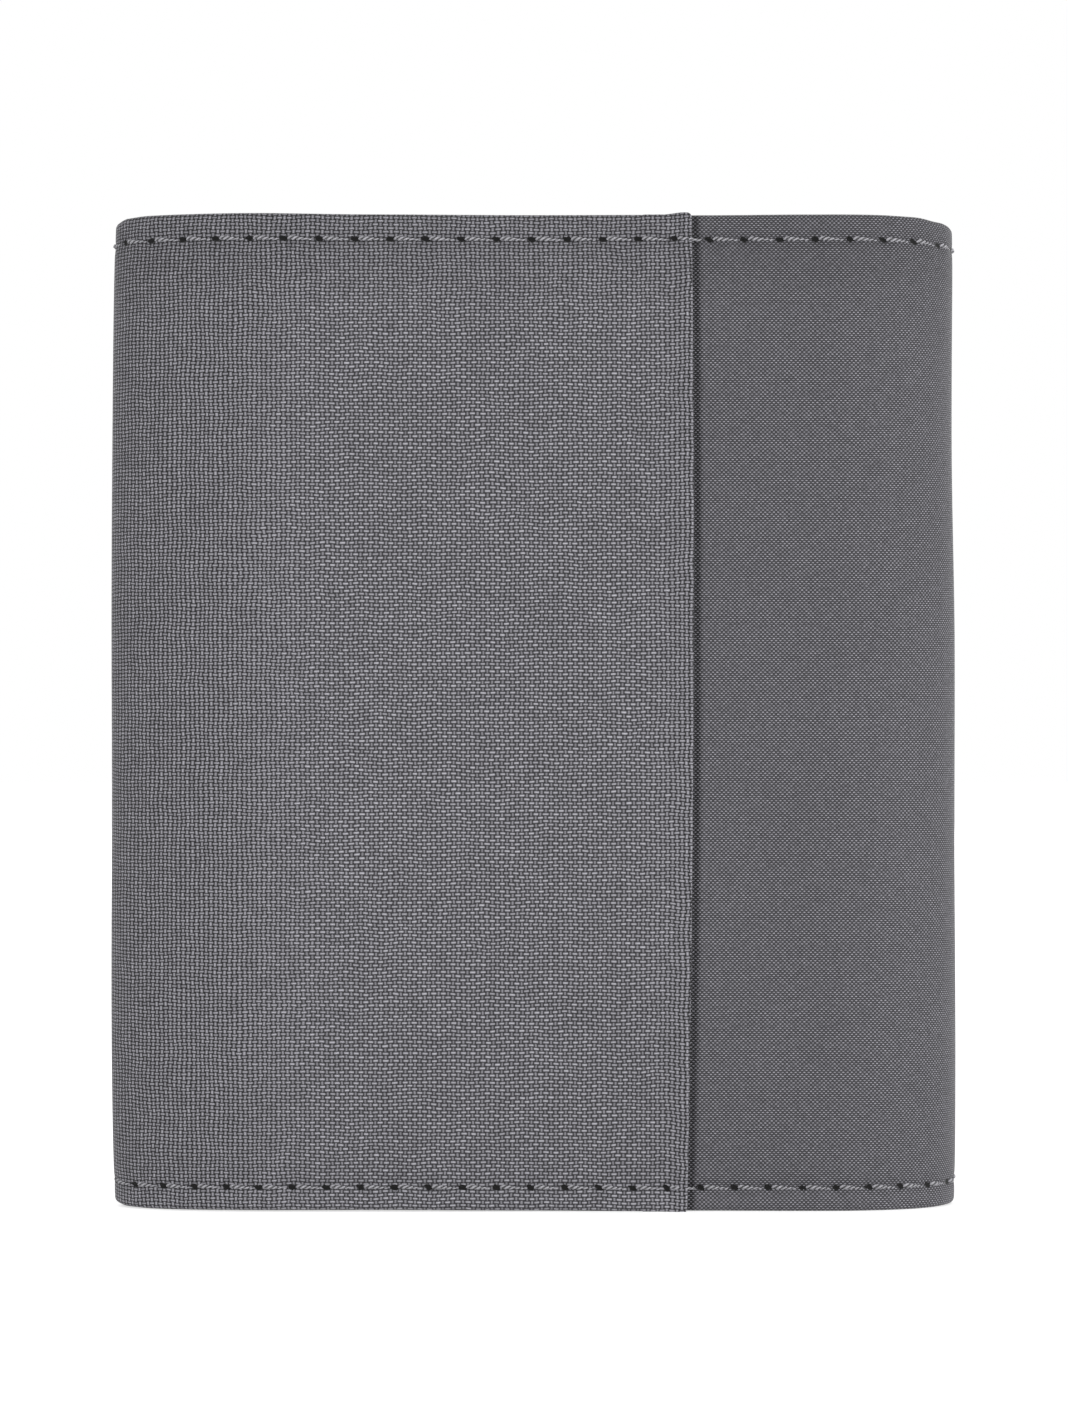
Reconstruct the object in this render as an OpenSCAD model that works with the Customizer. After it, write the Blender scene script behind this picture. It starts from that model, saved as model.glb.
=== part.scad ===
// Cloth trifold wallet, closed and standing on its bottom edge.
// X runs from the left fold to the right fold, Y from the back panel to the outer flap, Z up.
// The origin is the middle of the footprint, at the bottom edge.

/* [Wallet] */
// Height, from the bottom edge to the top edge
wallet_h = 105; // [95:1:120]
// Width of the closed wallet, from fold to fold
wallet_w = 90; // [84:1:104]
// Thickness of the closed wallet
wallet_d = 20; // [19:0.5:24]
// How far the outer flap's free edge stops short of the left fold
outer_flap_short = 2.5; // [1.5:0.5:6]
// How far past the wallet's middle the inner flap reaches
inner_flap_past_middle = 8; // [2:0.5:9]

/* [Folds] */
// How far in from the side the left fold's rounding starts
left_fold_reach = 18.5; // [15:0.5:22]
// How far in from the side the right fold's rounding starts
right_fold_reach = 14; // [11:0.5:17]
// Turn along the fold's rounding from its outermost point to each crease, in degrees
crease_turn = 30; // [24:1:36]
// Gap between the strips at a crease
crease_gap = 0.3; // [0.2:0.05:0.5]
// Gap kept between pieces that move past each other
moving_gap = 0.3; // [0.2:0.05:0.5]
// How far the face falls away at the top and bottom edges
edge_drop = 1; // [0.4:0.1:1.2]
// Height of the band in which it falls away
edge_band = 7; // [5:0.5:10]
// Share of that fall by which the folds narrow at the top and bottom
side_fall_share = 0.35; // [0:0.05:1]
// How far the outer flap's free edge dips
outer_tip_drop = 1.8; // [0.6:0.1:2.2]
// Width of the band in which it dips
outer_tip_band = 14; // [8:0.5:15]
// How far the inner flap's free edge dips
inner_tip_drop = 1; // [0.5:0.1:1.5]
// Width of the band in which it dips
inner_tip_band = 12; // [8:0.5:15]

/* [Cloth] */
// Thickness of the fine cloth with its backing
fine_t = 0.7; // [0.5:0.05:0.9]
// How far the coarse cloth stands proud of the fine cloth
lap_step = 0.5; // [0.3:0.05:0.7]
// Width of the fine cloth that is tucked under the coarse cloth
lap_w = 6; // [4:0.5:9]
// How far right of the wallet's middle the coarse cloth ends
seam_x = 16.4; // [12:0.2:20]
// Thickness of the padding in the back panel and the inner flap
pad_t = 1.6; // [1:0.1:2]
// Thickness of the padding in the outer flap
flap_pad_t = 0.6; // [0.4:0.1:0.9]
// Thickness of the thin lining cloth
lining_t = 0.4; // [0.3:0.05:0.6]
// Thickness of the divider that carries the pockets
divider_t = 0.5; // [0.4:0.05:0.7]
// Distance from the side of the back panel to its layers, measured along the width
layer_side_gap = 2.2; // [1.8:0.1:3]
// Distance from the top and bottom edges to the linings
lining_inset = 1; // [0.5:0.1:2]

/* [Note compartment] */
// Room for notes in the back panel
note_gap = 1.2; // [0.8:0.1:1.6]
// Room for notes in each flap
flap_note_gap = 0.5; // [0.3:0.1:0.6]
// How far the dividers stop short of the top edge
divider_short = 3; // [2:0.5:6]
// Height of the seam that closes the compartment along the bottom
bottom_seam_h = 3; // [2:0.5:5]

/* [Card slots] */
// Width of each card slot
slot_w = 62; // [58:1:66]
// Thickness of a slot's cloth
slot_t = 0.7; // [0.5:0.05:0.8]
// Height of the front slot's top edge
slot_front_h = 62; // [50:1:66]
// How much higher each slot behind it ends
slot_rise = 9; // [7:0.5:11]
// Height of the hem along a slot's top edge
slot_hem_h = 4; // [3:0.5:6]
// How far the hem stands proud
slot_hem_t = 0.25; // [0.15:0.05:0.35]
// Distance from the bottom edge to the slots and pockets
pocket_base = 3.5; // [3:0.5:6]

/* [Photo window] */
// Width of the window pocket
window_w = 38; // [36:0.5:39]
// Height of the window pocket
window_h = 62; // [56:1:70]
// Width of the cloth border round the window
window_border = 4.5; // [3.5:0.5:6]
// Thickness of the clear film
film_t = 0.25; // [0.2:0.05:0.35]
// Thickness of the cloth border
border_t = 0.6; // [0.4:0.05:0.8]
// Radius of the thumb notch
thumb_r = 7; // [5:0.5:9]
// Radius of the window's corners
window_corner_r = 3; // [2:0.5:4]

/* [Hook and loop] */
// Width of the fastener patches
patch_w = 16; // [12:1:17]
// Height of the fastener patches
patch_h = 60; // [40:1:80]
// Thickness of the hook patch
hook_t = 0.8; // [0.6:0.05:0.9]
// Thickness of the loop patch
loop_t = 0.8; // [0.6:0.05:0.9]
// Radius of the patches' corners
patch_corner_r = 2; // [1:0.5:4]

/* [Coin pouch] */
// Gap between the inner flap's free edge and the pouch
pouch_flap_gap = 3.5; // [3:0.5:6]
// Distance from the right side to the pouch
pouch_side_gap = 6.5; // [6:0.5:9]
// Distance from the top and bottom edges to the pouch
pouch_inset = 6; // [5:0.5:9]
// Room inside the pouch
pouch_gap = 3.7; // [3:0.1:3.9]
// Thickness of the pouch cloth
pouch_t = 0.6; // [0.4:0.05:0.7]
// Radius of the pouch's corners
pouch_corner_r = 3; // [2:0.5:4]

/* [Zip] */
// Width of the slit between the two pouch panels
slit_w = 8; // [7.6:0.1:9]
// Gap between each zip tape and the pouch's side
tape_side_gap = 3.6; // [1:0.1:5]
// Thickness of the zip tape
tape_t = 0.4; // [0.3:0.05:0.5]
// Distance from the pouch's top and bottom to the ends of the row of teeth
zip_inset = 6; // [5:0.5:9]
// Distance from one tooth to the next on the same side
tooth_pitch = 2; // [1.8:0.1:2.4]
// Width of the closed row of teeth
teeth_w = 4.2; // [3.8:0.1:4.4]
// Thickness of the teeth
teeth_t = 1.8; // [1.6:0.1:2]
// How far the teeth of the two sides lap past each other
tooth_lap = 1; // [0.8:0.1:1.2]
// Height of a tooth
tooth_h = 0.9; // [0.7:0.05:0.95]
// Height of the end stops
stop_h = 1.6; // [1.2:0.1:2]
// Length of the slider
slider_l = 8.2; // [7.5:0.1:8.6]
// Width of the slider at its top end
slider_w = 6.8; // [6.6:0.1:7.2]
// Width of the slider at its bottom end
slider_foot_w = 6; // [5.8:0.1:6.4]
// Thickness of the slider's two plates
slider_plate_t = 0.8; // [0.6:0.05:0.9]
// Clearance round the teeth inside the slider
slider_gap = 0.25; // [0.2:0.05:0.3]
// Width of the slider's bridge
bridge_w = 1; // [0.9:0.1:1.1]
// Thickness of the bridge's metal
bridge_t = 0.7; // [0.6:0.05:0.8]
// Height of the opening under the bridge
bridge_gap = 1.2; // [1.15:0.05:1.3]
// Length of the opening under the bridge
bridge_l = 2.4; // [2.3:0.1:2.6]
// Radius of the ring on the bridge, inside
ring_r = 2.8; // [2.7:0.1:3.2]
// Thickness of the ring's wire
ring_wire = 0.9; // [0.8:0.05:0.95]
// Length of the tab that hangs on the ring
tab_l = 11; // [8:0.5:12]
// Width of the tab at its lower end
tab_w = 4.6; // [3.5:0.1:5]
// Thickness of the tab
tab_t = 1.1; // [0.9:0.05:1.3]

/* [Hidden] */
$fn = 48;
// Overrun of every cut
cut = 1;
// Points along a fold's rounding, levels in each edge band and points along a flap's dip
fold_steps = 12;
edge_steps = 4;
tip_steps = 5;
// Turns of the points round a turned edge, in degrees
edge_turns = [0, 30, 55, 75];
slot_count = 3;
// Shares of the size that each one follows
tape_edge_share = 0.3;
tooth_neck_share = 0.7;
tooth_head_shares = [0.7, 0.4];
slider_flare_share = 1 / 6;
slider_shoulder_share = 1 / 8;
slider_top_share = 0.75;
tab_neck_share = 1.8;
tab_taper_shares = [0.2, 0.5, 0.9];
tab_foot_share = 0.65;

coarse_t = fine_t + lap_step;
left_x = -wallet_w / 2;
right_x = wallet_w / 2;
back_y = -wallet_d / 2;
front_y = wallet_d / 2;
mid_z = wallet_h / 2;

// Layers of the back panel, from its outer face inwards
shell_in_y = back_y + coarse_t;
pad_in_y = shell_in_y + pad_t;
lining_in_y = pad_in_y + lining_t;
divider_y = lining_in_y + note_gap;
divider_in_y = divider_y + divider_t;

// Layers of the outer flap, from its outer face inwards
flap_shell_in_y = front_y - fine_t;
flap_pad_in_y = flap_shell_in_y - flap_pad_t;
flap_divider_y = flap_pad_in_y - flap_note_gap;
flap_divider_in_y = flap_divider_y - divider_t;
hook_in_y = flap_divider_in_y - hook_t;

// Layers of the inner flap, from its outer face inwards
inner_out_y = hook_in_y - moving_gap - loop_t;
inner_shell_in_y = inner_out_y - coarse_t;
inner_pad_in_y = inner_shell_in_y - pad_t;
inner_divider_y = inner_pad_in_y - flap_note_gap;
inner_divider_in_y = inner_divider_y - divider_t;
backing_in_y = inner_divider_in_y - lining_t;
film_in_y = backing_in_y - film_t;

// The two folds: centre, half width and half thickness of each rounding
left_cx = left_x + left_fold_reach;
left_cy = (back_y + inner_out_y) / 2;
left_b = (inner_out_y - back_y) / 2;
right_cx = right_x - right_fold_reach;
right_cy = (back_y + lap_step + front_y) / 2;
right_b = (front_y - back_y - lap_step) / 2;

// Free edges of the flaps
outer_tip_x = left_x + outer_flap_short;
inner_tip_x = inner_flap_past_middle;

// The pouch and its zip
pouch_x0 = inner_tip_x + pouch_flap_gap;
pouch_x1 = right_x - pouch_side_gap;
pouch_z0 = pouch_inset;
pouch_z1 = wallet_h - pouch_inset;
pouch_in_y = flap_divider_in_y - pouch_gap;
pouch_out_y = pouch_in_y - pouch_t;
zip_x = (pouch_x0 + pouch_x1) / 2;
zip_y = pouch_in_y + tape_t / 2;
zip_z0 = pouch_z0 + zip_inset;
zip_z1 = pouch_z1 - zip_inset;
tooth_count = floor((zip_z1 - zip_z0) / tooth_pitch);
tape_edge = tape_edge_share * teeth_w;
tape_w = pouch_x1 - pouch_t - tape_side_gap - zip_x - tape_edge;
channel_t = teeth_t + 2 * slider_gap;
slider_top_y = zip_y - channel_t / 2 - slider_plate_t;
slider_z = zip_z1 - slider_l / 2;
ring_y = slider_top_y - bridge_gap / 2;
ring_mid_r = ring_r + ring_wire / 2;
ring_z = slider_z - ring_mid_r;
tab_eye_r = ring_wire / 2 + tab_t / 2;
tab_neck_w = tab_neck_share * ring_wire;

// Size of the pockets' cloth on the inner flap
inner_pocket_x1 = inner_tip_x - layer_side_gap;
inner_pocket_x0 = inner_pocket_x1 - window_w;
window_z0 = mid_z - window_h / 2;
patch_x = (left_cx + inner_tip_x - inner_tip_band) / 2;

// Drop of the face at a height, and dip of a flap at a distance from its free edge
function edge_fall(z) = edge_drop * pow(max(0, 1 - min(z, wallet_h - z) / edge_band), 2);
function tip_fall(d, drop, band) = drop * pow(max(0, 1 - d / band), 2);

// Points along a fold's rounding, each with the direction that leads into the wallet.
// The turn runs from 90 degrees, at the back, through 0, at the side, to -90 degrees, at the front.
// Outlines of the left fold are drawn on the right and mirrored.
function arc_points(cx, cy, a, b, t0, t1) = [
    for (i = [0 : fold_steps])
        let (t = t0 + (t1 - t0) * i / fold_steps)
            [cx + a * cos(t), cy - b * sin(t), -side_fall_share * cos(t), sin(t)]];

// Turn that half a crease gap takes up on a fold
function crease_slack(a, b) =
    (crease_gap / 2) / norm([a * sin(crease_turn), b * cos(crease_turn)]) * 180 / PI;

function left_arc(inset, t0, t1) =
    arc_points(-left_cx, left_cy, left_fold_reach - inset, left_b - inset, t0, t1);
function right_arc(inset, t0, t1) =
    arc_points(right_cx, right_cy, right_fold_reach - inset, right_b - inset, t0, t1);
left_slack = crease_slack(left_fold_reach, left_b);
right_slack = crease_slack(right_fold_reach, right_b);

// Points round a turned edge at x, from one face of the cloth, at y, towards its other face.
// They stop just short of the middle.
function turned_edge(x, y, other_y) =
    let (r = abs(y - other_y) / 2, mid = (y + other_y) / 2)
        [for (turn = edge_turns) [x + r * (1 - sin(turn)), mid + (y - mid) * cos(turn)]];

// Points along one face of a flap's free end, which dips towards the wallet and has a turned edge
function tip_points(tip_x, band, drop, y, other_y) = [
    for (p = concat(
        [for (i = [0 : tip_steps - 1]) [tip_x + band * (1 - i / tip_steps), y]],
        turned_edge(tip_x, y, other_y)))
            [p[0], p[1] - tip_fall(p[0] - tip_x, drop, band), 0, -1]];

// Points along one face of the coarse cloth's free edge, mirrored: the edge, then the lap
function lap_points(y, other_y) = [
    for (p = reversed(turned_edge(-seam_x, y, other_y)))
        [p[0], p[1], 0, 1]];

function reversed(list) = [for (i = [len(list) - 1 : -1 : 0]) list[i]];
function in_plan(list) = [for (p = list) [p[0], p[1]]];
function flipped(list) = [for (p = list) [-p[0], p[1]]];

// Widest place that a layer may reach inside each fold, at a given depth
function left_reach(y, inset) =
    left_cx - (left_fold_reach - inset) * sqrt(1 - pow((y - left_cy) / (left_b - inset), 2));
function right_reach(y, inset) =
    right_cx + (right_fold_reach - inset) * sqrt(1 - pow((y - right_cy) / (right_b - inset), 2));

// Sheet between an outer and an inner line in plan, with as many points in each.
// Its edges fall away at the top and the bottom.
module sheet(outer, inner) {
    outline = concat(outer, reversed(inner));
    low = [for (k = [0 : edge_steps]) edge_band * k / edge_steps];
    levels = concat(low, [for (z = reversed(low)) wallet_h - z]);
    n = len(outline);
    points = [
        for (z = levels)
            for (p = outline)
                [p[0] + p[2] * edge_fall(z), p[1] + p[3] * edge_fall(z), z]];
    sides = [
        for (k = [0 : len(levels) - 2])
            for (i = [0 : n - 1])
                let (j = (i + 1) % n, a = k * n + i, b = k * n + j)
                    each [[a, a + n, b], [b, a + n, b + n]]];
    bottom = [
        for (i = [0 : len(outer) - 2])
            each [[i, i + 1, n - 1 - i], [i + 1, n - 2 - i, n - 1 - i]]];
    last = (len(levels) - 1) * n;
    top = [for (f = bottom) [last + f[2], last + f[1], last + f[0]]];
    polyhedron(points, concat(bottom, sides, top), convexity = 6);
}

module mirrored_sheet(outer, inner) {
    mirror([1, 0, 0])
        sheet(outer, inner);
}

// Flat layer between two depths, x from x0 to x1 and z from z0 to z1
module layer(x0, x1, y0, y1, z0, z1) {
    translate([x0, min(y0, y1), z0])
        cube([x1 - x0, abs(y1 - y0), z1 - z0]);
}

// Padding between two depths that fills an outline in plan
module padding(outline, y0, y1) {
    translate([0, 0, edge_band])
        linear_extrude(wallet_h - 2 * edge_band)
            intersection() {
                polygon(outline);
                translate([left_x, min(y0, y1)])
                    square([wallet_w, abs(y1 - y0)]);
            }
}

// Outline with round corners, drawn across the wallet, from one depth to another
module round_layer(x0, x1, y0, y1, z0, z1, r) {
    translate([0, max(y0, y1), 0])
        rotate([90, 0, 0])
            linear_extrude(abs(y1 - y0))
                round_outline(x0, x1, z0, z1, r);
}

module round_outline(x0, x1, z0, z1, r) {
    translate([x0 + r, z0])
        square([x1 - x0 - 2 * r, z1 - z0]);
    translate([x0, z0 + r])
        square([x1 - x0, z1 - z0 - 2 * r]);
    for (x = [x0 + r, x1 - r], z = [z0 + r, z1 - r])
        translate([x, z])
            circle(r);
}

// Back panel
module shell_coarse_back() {
    lap_in_y = back_y + lap_step;
    lap_end_x = lap_w - seam_x;
    outer = concat(
        lap_points(back_y, lap_in_y),
        [[lap_end_x, back_y, 0, 1], [lap_end_x + coarse_t, back_y, 0, 1]],
        left_arc(0, 90, crease_turn + left_slack));
    inner = concat(
        lap_points(lap_in_y, back_y),
        [[lap_end_x, lap_in_y, 0, 1], [lap_end_x, shell_in_y, 0, 1]],
        left_arc(coarse_t, 90, crease_turn + left_slack));
    color("#6d6c71")
        mirrored_sheet(outer, inner);
}

module shell_fine_back() {
    outer = concat(
        [[seam_x - lap_w, back_y + lap_step, 0, 1]],
        right_arc(0, 90, crease_turn + right_slack));
    inner = concat(
        [[seam_x - lap_w, shell_in_y, 0, 1]],
        right_arc(fine_t, 90, crease_turn + right_slack));
    color("#66656a")
        sheet(outer, inner);
}

module back_padding() {
    color("#8f8f93")
        padding(
            concat(
                flipped(reversed(left_arc(coarse_t, 90, crease_turn))),
                in_plan(right_arc(fine_t, 90, crease_turn))),
            shell_in_y, pad_in_y);
}

module note_lining_back() {
    color("#5c5c61")
        layer(
            left_reach(pad_in_y, coarse_t) + layer_side_gap,
            right_reach(pad_in_y, fine_t) - layer_side_gap,
            pad_in_y, lining_in_y, lining_inset, wallet_h - lining_inset);
}

module note_divider_back() {
    color("#5c5c61")
        layer(
            left_reach(divider_y, coarse_t) + layer_side_gap,
            right_reach(divider_y, fine_t) - layer_side_gap,
            divider_y, divider_in_y, lining_inset, wallet_h - divider_short);
}

module note_bottom_seam() {
    color("#5c5c61")
        layer(
            left_reach(lining_in_y, coarse_t) + layer_side_gap,
            right_reach(lining_in_y, fine_t) - layer_side_gap,
            lining_in_y, divider_y, lining_inset, lining_inset + bottom_seam_h);
}

// Card slot, counted from the divider outwards
module card_slot(number) {
    y = divider_in_y + number * slot_t;
    top = slot_front_h + (slot_count - 1 - number) * slot_rise;
    color("#616166") {
        layer(-slot_w / 2, slot_w / 2, y, y + slot_t, pocket_base, top);
        layer(-slot_w / 2, slot_w / 2, y, y + slot_t + slot_hem_t, top - slot_hem_h, top);
    }
}

module card_slot_rear() {
    card_slot(0);
}

module card_slot_middle() {
    card_slot(1);
}

module card_slot_front() {
    card_slot(2);
}

// Fold strips
module shell_fine_spine() {
    t = crease_turn - right_slack;
    color("#66656a")
        sheet(right_arc(0, t, -t), right_arc(fine_t, t, -t));
}

module outer_spine_lining() {
    t = crease_turn - right_slack;
    color("#5c5c61")
        sheet(right_arc(fine_t, t, -t), right_arc(fine_t + lining_t, t, -t));
}

module shell_coarse_spine() {
    t = crease_turn - left_slack;
    color("#6d6c71")
        mirrored_sheet(left_arc(0, t, -t), left_arc(coarse_t, t, -t));
}

module inner_spine_lining() {
    t = crease_turn - left_slack;
    color("#5c5c61")
        mirrored_sheet(left_arc(coarse_t, t, -t), left_arc(coarse_t + lining_t, t, -t));
}

// Outer flap
module shell_fine_flap() {
    outer = concat(
        right_arc(0, -crease_turn - right_slack, -90),
        tip_points(outer_tip_x, outer_tip_band, outer_tip_drop, front_y, flap_shell_in_y));
    inner = concat(
        right_arc(fine_t, -crease_turn - right_slack, -90),
        tip_points(outer_tip_x, outer_tip_band, outer_tip_drop, flap_shell_in_y, front_y));
    color("#66656a")
        sheet(outer, inner);
}

module outer_flap_padding() {
    color("#8f8f93")
        layer(
            outer_tip_x + outer_tip_band, right_cx,
            flap_pad_in_y, flap_shell_in_y, edge_band, wallet_h - edge_band);
}

module note_divider_outer_flap() {
    right_end = right_reach(flap_divider_y, fine_t) - layer_side_gap;
    tip_x = outer_tip_x + layer_side_gap;
    out = tip_points(tip_x, outer_tip_band, outer_tip_drop, flap_divider_y, flap_divider_in_y);
    in = tip_points(tip_x, outer_tip_band, outer_tip_drop, flap_divider_in_y, flap_divider_y);
    color("#5c5c61")
        translate([0, 0, lining_inset])
            linear_extrude(wallet_h - divider_short - lining_inset)
                polygon(in_plan(concat(
                    [[right_end, flap_divider_y]], out, reversed(in), [[right_end, flap_divider_in_y]])));
}

module hook_patch() {
    color("#4e4e53")
        round_layer(
            patch_x - patch_w / 2, patch_x + patch_w / 2, hook_in_y, flap_divider_in_y,
            mid_z - patch_h / 2, mid_z + patch_h / 2, patch_corner_r);
}

// Coin pouch on the outer flap
module pouch_gusset() {
    color("#616166")
        difference() {
            round_layer(
                pouch_x0, pouch_x1, pouch_in_y, flap_divider_in_y, pouch_z0, pouch_z1, pouch_corner_r);
            translate([0, -cut, 0])
                round_layer(
                    pouch_x0 + pouch_t, pouch_x1 - pouch_t, pouch_in_y, flap_divider_in_y + 2 * cut,
                    pouch_z0 + pouch_t, pouch_z1 - pouch_t, pouch_corner_r - pouch_t);
        }
}

module pouch_front() {
    difference() {
        round_layer(pouch_x0, pouch_x1, pouch_out_y, pouch_in_y, pouch_z0, pouch_z1, pouch_corner_r);
        layer(
            zip_x - slit_w / 2, zip_x + slit_w / 2, pouch_out_y - cut, pouch_in_y + cut,
            pouch_z0 - cut, pouch_z1 + cut);
    }
}

module pouch_panel_inboard() {
    color("#6d6c71")
        intersection() {
            pouch_front();
            layer(left_x, zip_x, back_y, front_y, -cut, wallet_h + cut);
        }
}

module pouch_panel_outboard() {
    color("#6d6c71")
        intersection() {
            pouch_front();
            layer(zip_x, right_x, back_y, front_y, -cut, wallet_h + cut);
        }
}

// Zip
module zip_tapes() {
    z0 = pouch_z0 + pouch_t;
    z1 = pouch_z1 - pouch_t;
    color("#58585d")
        for (side = [-1, 1])
            translate([zip_x + side * (tape_edge + tape_w / 2), pouch_in_y, z0])
                translate([-tape_w / 2, 0, 0])
                    cube([tape_w, tape_t, z1 - z0]);
}

// One tooth, pointing along +X from the edge of its tape
module tooth() {
    head = tooth_lap;
    root_x = -teeth_w / 2;
    tip_x = tooth_lap / 2;
    neck_h = tooth_neck_share * tooth_h;
    neck_x = tip_x - head * tooth_head_shares[0];
    knob_x = tip_x - head * tooth_head_shares[1];
    outline = [
        [root_x, -tooth_h / 2], [tip_x - head, -tooth_h / 2], [neck_x, -neck_h / 2],
        [knob_x, -tooth_h / 2], [tip_x, -neck_h / 2],
        [tip_x, neck_h / 2], [knob_x, tooth_h / 2], [neck_x, neck_h / 2],
        [tip_x - head, tooth_h / 2], [root_x, tooth_h / 2]];
    translate([0, teeth_t / 2, 0])
        rotate([90, 0, 0])
            linear_extrude(teeth_t)
                polygon(outline);
}

// Row of teeth, with a groove that grips the edge of the tape
module tooth_row(side) {
    first = side < 0 ? tooth_pitch / 4 : tooth_pitch * 3 / 4;
    difference() {
        for (i = [0 : tooth_count - 1])
            translate([zip_x, zip_y, zip_z0 + first + i * tooth_pitch])
                mirror([side > 0 ? 1 : 0, 0, 0])
                    tooth();
        layer(
            zip_x + side * tape_edge - (side < 0 ? teeth_w : 0),
            zip_x + side * tape_edge + (side > 0 ? teeth_w : 0),
            zip_y - tape_t / 2, zip_y + tape_t / 2, zip_z0 - cut, zip_z1 + cut);
    }
}

module zip_teeth_inboard() {
    color("#47474b")
        tooth_row(-1);
}

module zip_teeth_outboard() {
    color("#47474b")
        tooth_row(1);
}

module zip_stops() {
    x0 = tape_edge - tape_t / 2;
    color("silver")
        difference() {
            union() {
                for (side = [-1, 1])
                    translate([zip_x + side * (teeth_w / 2 + x0) / 2, zip_y, zip_z1 + moving_gap + stop_h / 2])
                        cube([teeth_w / 2 - x0 + tape_t, teeth_t, stop_h], center = true);
                translate([zip_x, zip_y, zip_z0 - moving_gap - stop_h / 2])
                    cube([teeth_w, teeth_t, stop_h], center = true);
            }
            for (side = [-1, 1])
                translate([zip_x + side * (tape_edge + tape_w / 2), zip_y, mid_z])
                    cube([tape_w, tape_t, wallet_h], center = true);
        }
}

// Outline of the slider's plates, wide at the top where the tapes part
module slider_outline() {
    top_w = slider_w / 2;
    foot_w = slider_foot_w / 2;
    flare_z = slider_l * slider_flare_share;
    shoulder_z = slider_l / 2 - slider_l * slider_shoulder_share;
    crown_w = top_w * slider_top_share;
    polygon([
        [-foot_w, -slider_l / 2], [foot_w, -slider_l / 2], [foot_w, -flare_z],
        [top_w, flare_z], [top_w, shoulder_z], [crown_w, slider_l / 2],
        [-crown_w, slider_l / 2], [-top_w, shoulder_z], [-top_w, flare_z],
        [-foot_w, -flare_z]]);
}

module slider_slab(y0, y1) {
    translate([zip_x, y1, slider_z])
        rotate([90, 0, 0])
            linear_extrude(y1 - y0)
                slider_outline();
}

module zip_slider() {
    lip_x = teeth_w / 2 + slider_gap;
    lip_y = tape_t / 2 + slider_gap;
    bridge_out = bridge_gap + bridge_t;
    bridge_h = bridge_l + 2 * bridge_t;
    color("silver") {
        difference() {
            slider_slab(slider_top_y, zip_y + channel_t / 2 + slider_plate_t);
            translate([zip_x, zip_y, slider_z])
                cube([2 * lip_x, channel_t, slider_l + 2 * cut], center = true);
            translate([zip_x, zip_y, slider_z])
                cube([slider_w + 2 * cut, 2 * lip_y, slider_l + 2 * cut], center = true);
        }
        difference() {
            translate([zip_x - bridge_w / 2, slider_top_y - bridge_out, slider_z - bridge_h / 2])
                cube([bridge_w, bridge_out, bridge_h]);
            translate([zip_x - bridge_w / 2 - cut, slider_top_y - bridge_gap, slider_z - bridge_l / 2])
                cube([bridge_w + 2 * cut, bridge_gap, bridge_l]);
        }
    }
}

module zip_pull_ring() {
    color("silver")
        translate([zip_x, ring_y, ring_z])
            rotate([90, 0, 0])
                rotate_extrude()
                    translate([ring_mid_r, 0])
                        circle(ring_wire / 2);
}

// Outline of the tab, measured from the middle of its eye
module tab_outline() {
    foot_w = tab_w * tab_foot_share;
    neck_z = -tab_l * tab_taper_shares[0];
    belly_z = -tab_l * tab_taper_shares[1];
    foot_z = -tab_l * tab_taper_shares[2];
    polygon([
        [-tab_neck_w / 2, tab_eye_r + cut], [tab_neck_w / 2, tab_eye_r + cut],
        [tab_neck_w / 2, neck_z], [tab_w / 2, belly_z], [tab_w / 2, foot_z], [foot_w / 2, -tab_l],
        [-foot_w / 2, -tab_l], [-tab_w / 2, foot_z], [-tab_w / 2, belly_z], [-tab_neck_w / 2, neck_z]]);
}

module zip_pull_tab() {
    eye_z = ring_z - ring_mid_r;
    bore_r = ring_wire / 2 + moving_gap / 2;
    color("#47474b")
        difference() {
            intersection() {
                union() {
                    translate([zip_x, ring_y, eye_z])
                        rotate([0, 90, 0])
                            cylinder(r = tab_eye_r + moving_gap, h = tab_w, center = true);
                    translate([zip_x, ring_y, eye_z - tab_l / 2])
                        cube([tab_w, tab_t, tab_l], center = true);
                }
                translate([zip_x, ring_y + wallet_d, eye_z])
                    rotate([90, 0, 0])
                        linear_extrude(2 * wallet_d)
                            tab_outline();
            }
            translate([zip_x, ring_y, eye_z])
                rotate([0, 90, 0])
                    cylinder(r = bore_r, h = tab_w + cut, center = true);
        }
}

// Inner flap
module shell_coarse_flap() {
    outer = concat(
        left_arc(0, -crease_turn - left_slack, -90),
        tip_points(-inner_tip_x, inner_tip_band, inner_tip_drop, inner_out_y, inner_shell_in_y));
    inner = concat(
        left_arc(coarse_t, -crease_turn - left_slack, -90),
        tip_points(-inner_tip_x, inner_tip_band, inner_tip_drop, inner_shell_in_y, inner_out_y));
    color("#6d6c71")
        mirrored_sheet(outer, inner);
}

module inner_flap_padding() {
    end_x = inner_tip_x - inner_tip_band;
    color("#8f8f93")
        padding(
            concat(
                flipped(left_arc(coarse_t, -crease_turn, -90)),
                [[end_x, inner_shell_in_y], [end_x, left_cy]]),
            inner_pad_in_y, inner_shell_in_y);
}

module note_divider_inner_flap() {
    color("#5c5c61")
        layer(
            left_reach(inner_divider_y, coarse_t) + layer_side_gap, inner_tip_x - layer_side_gap / 2,
            inner_divider_in_y, inner_divider_y, lining_inset, wallet_h - divider_short);
}

module loop_patch() {
    color("#57575c")
        round_layer(
            patch_x - patch_w / 2, patch_x + patch_w / 2, inner_out_y, inner_out_y + loop_t,
            mid_z - patch_h / 2, mid_z + patch_h / 2, patch_corner_r);
}

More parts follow.
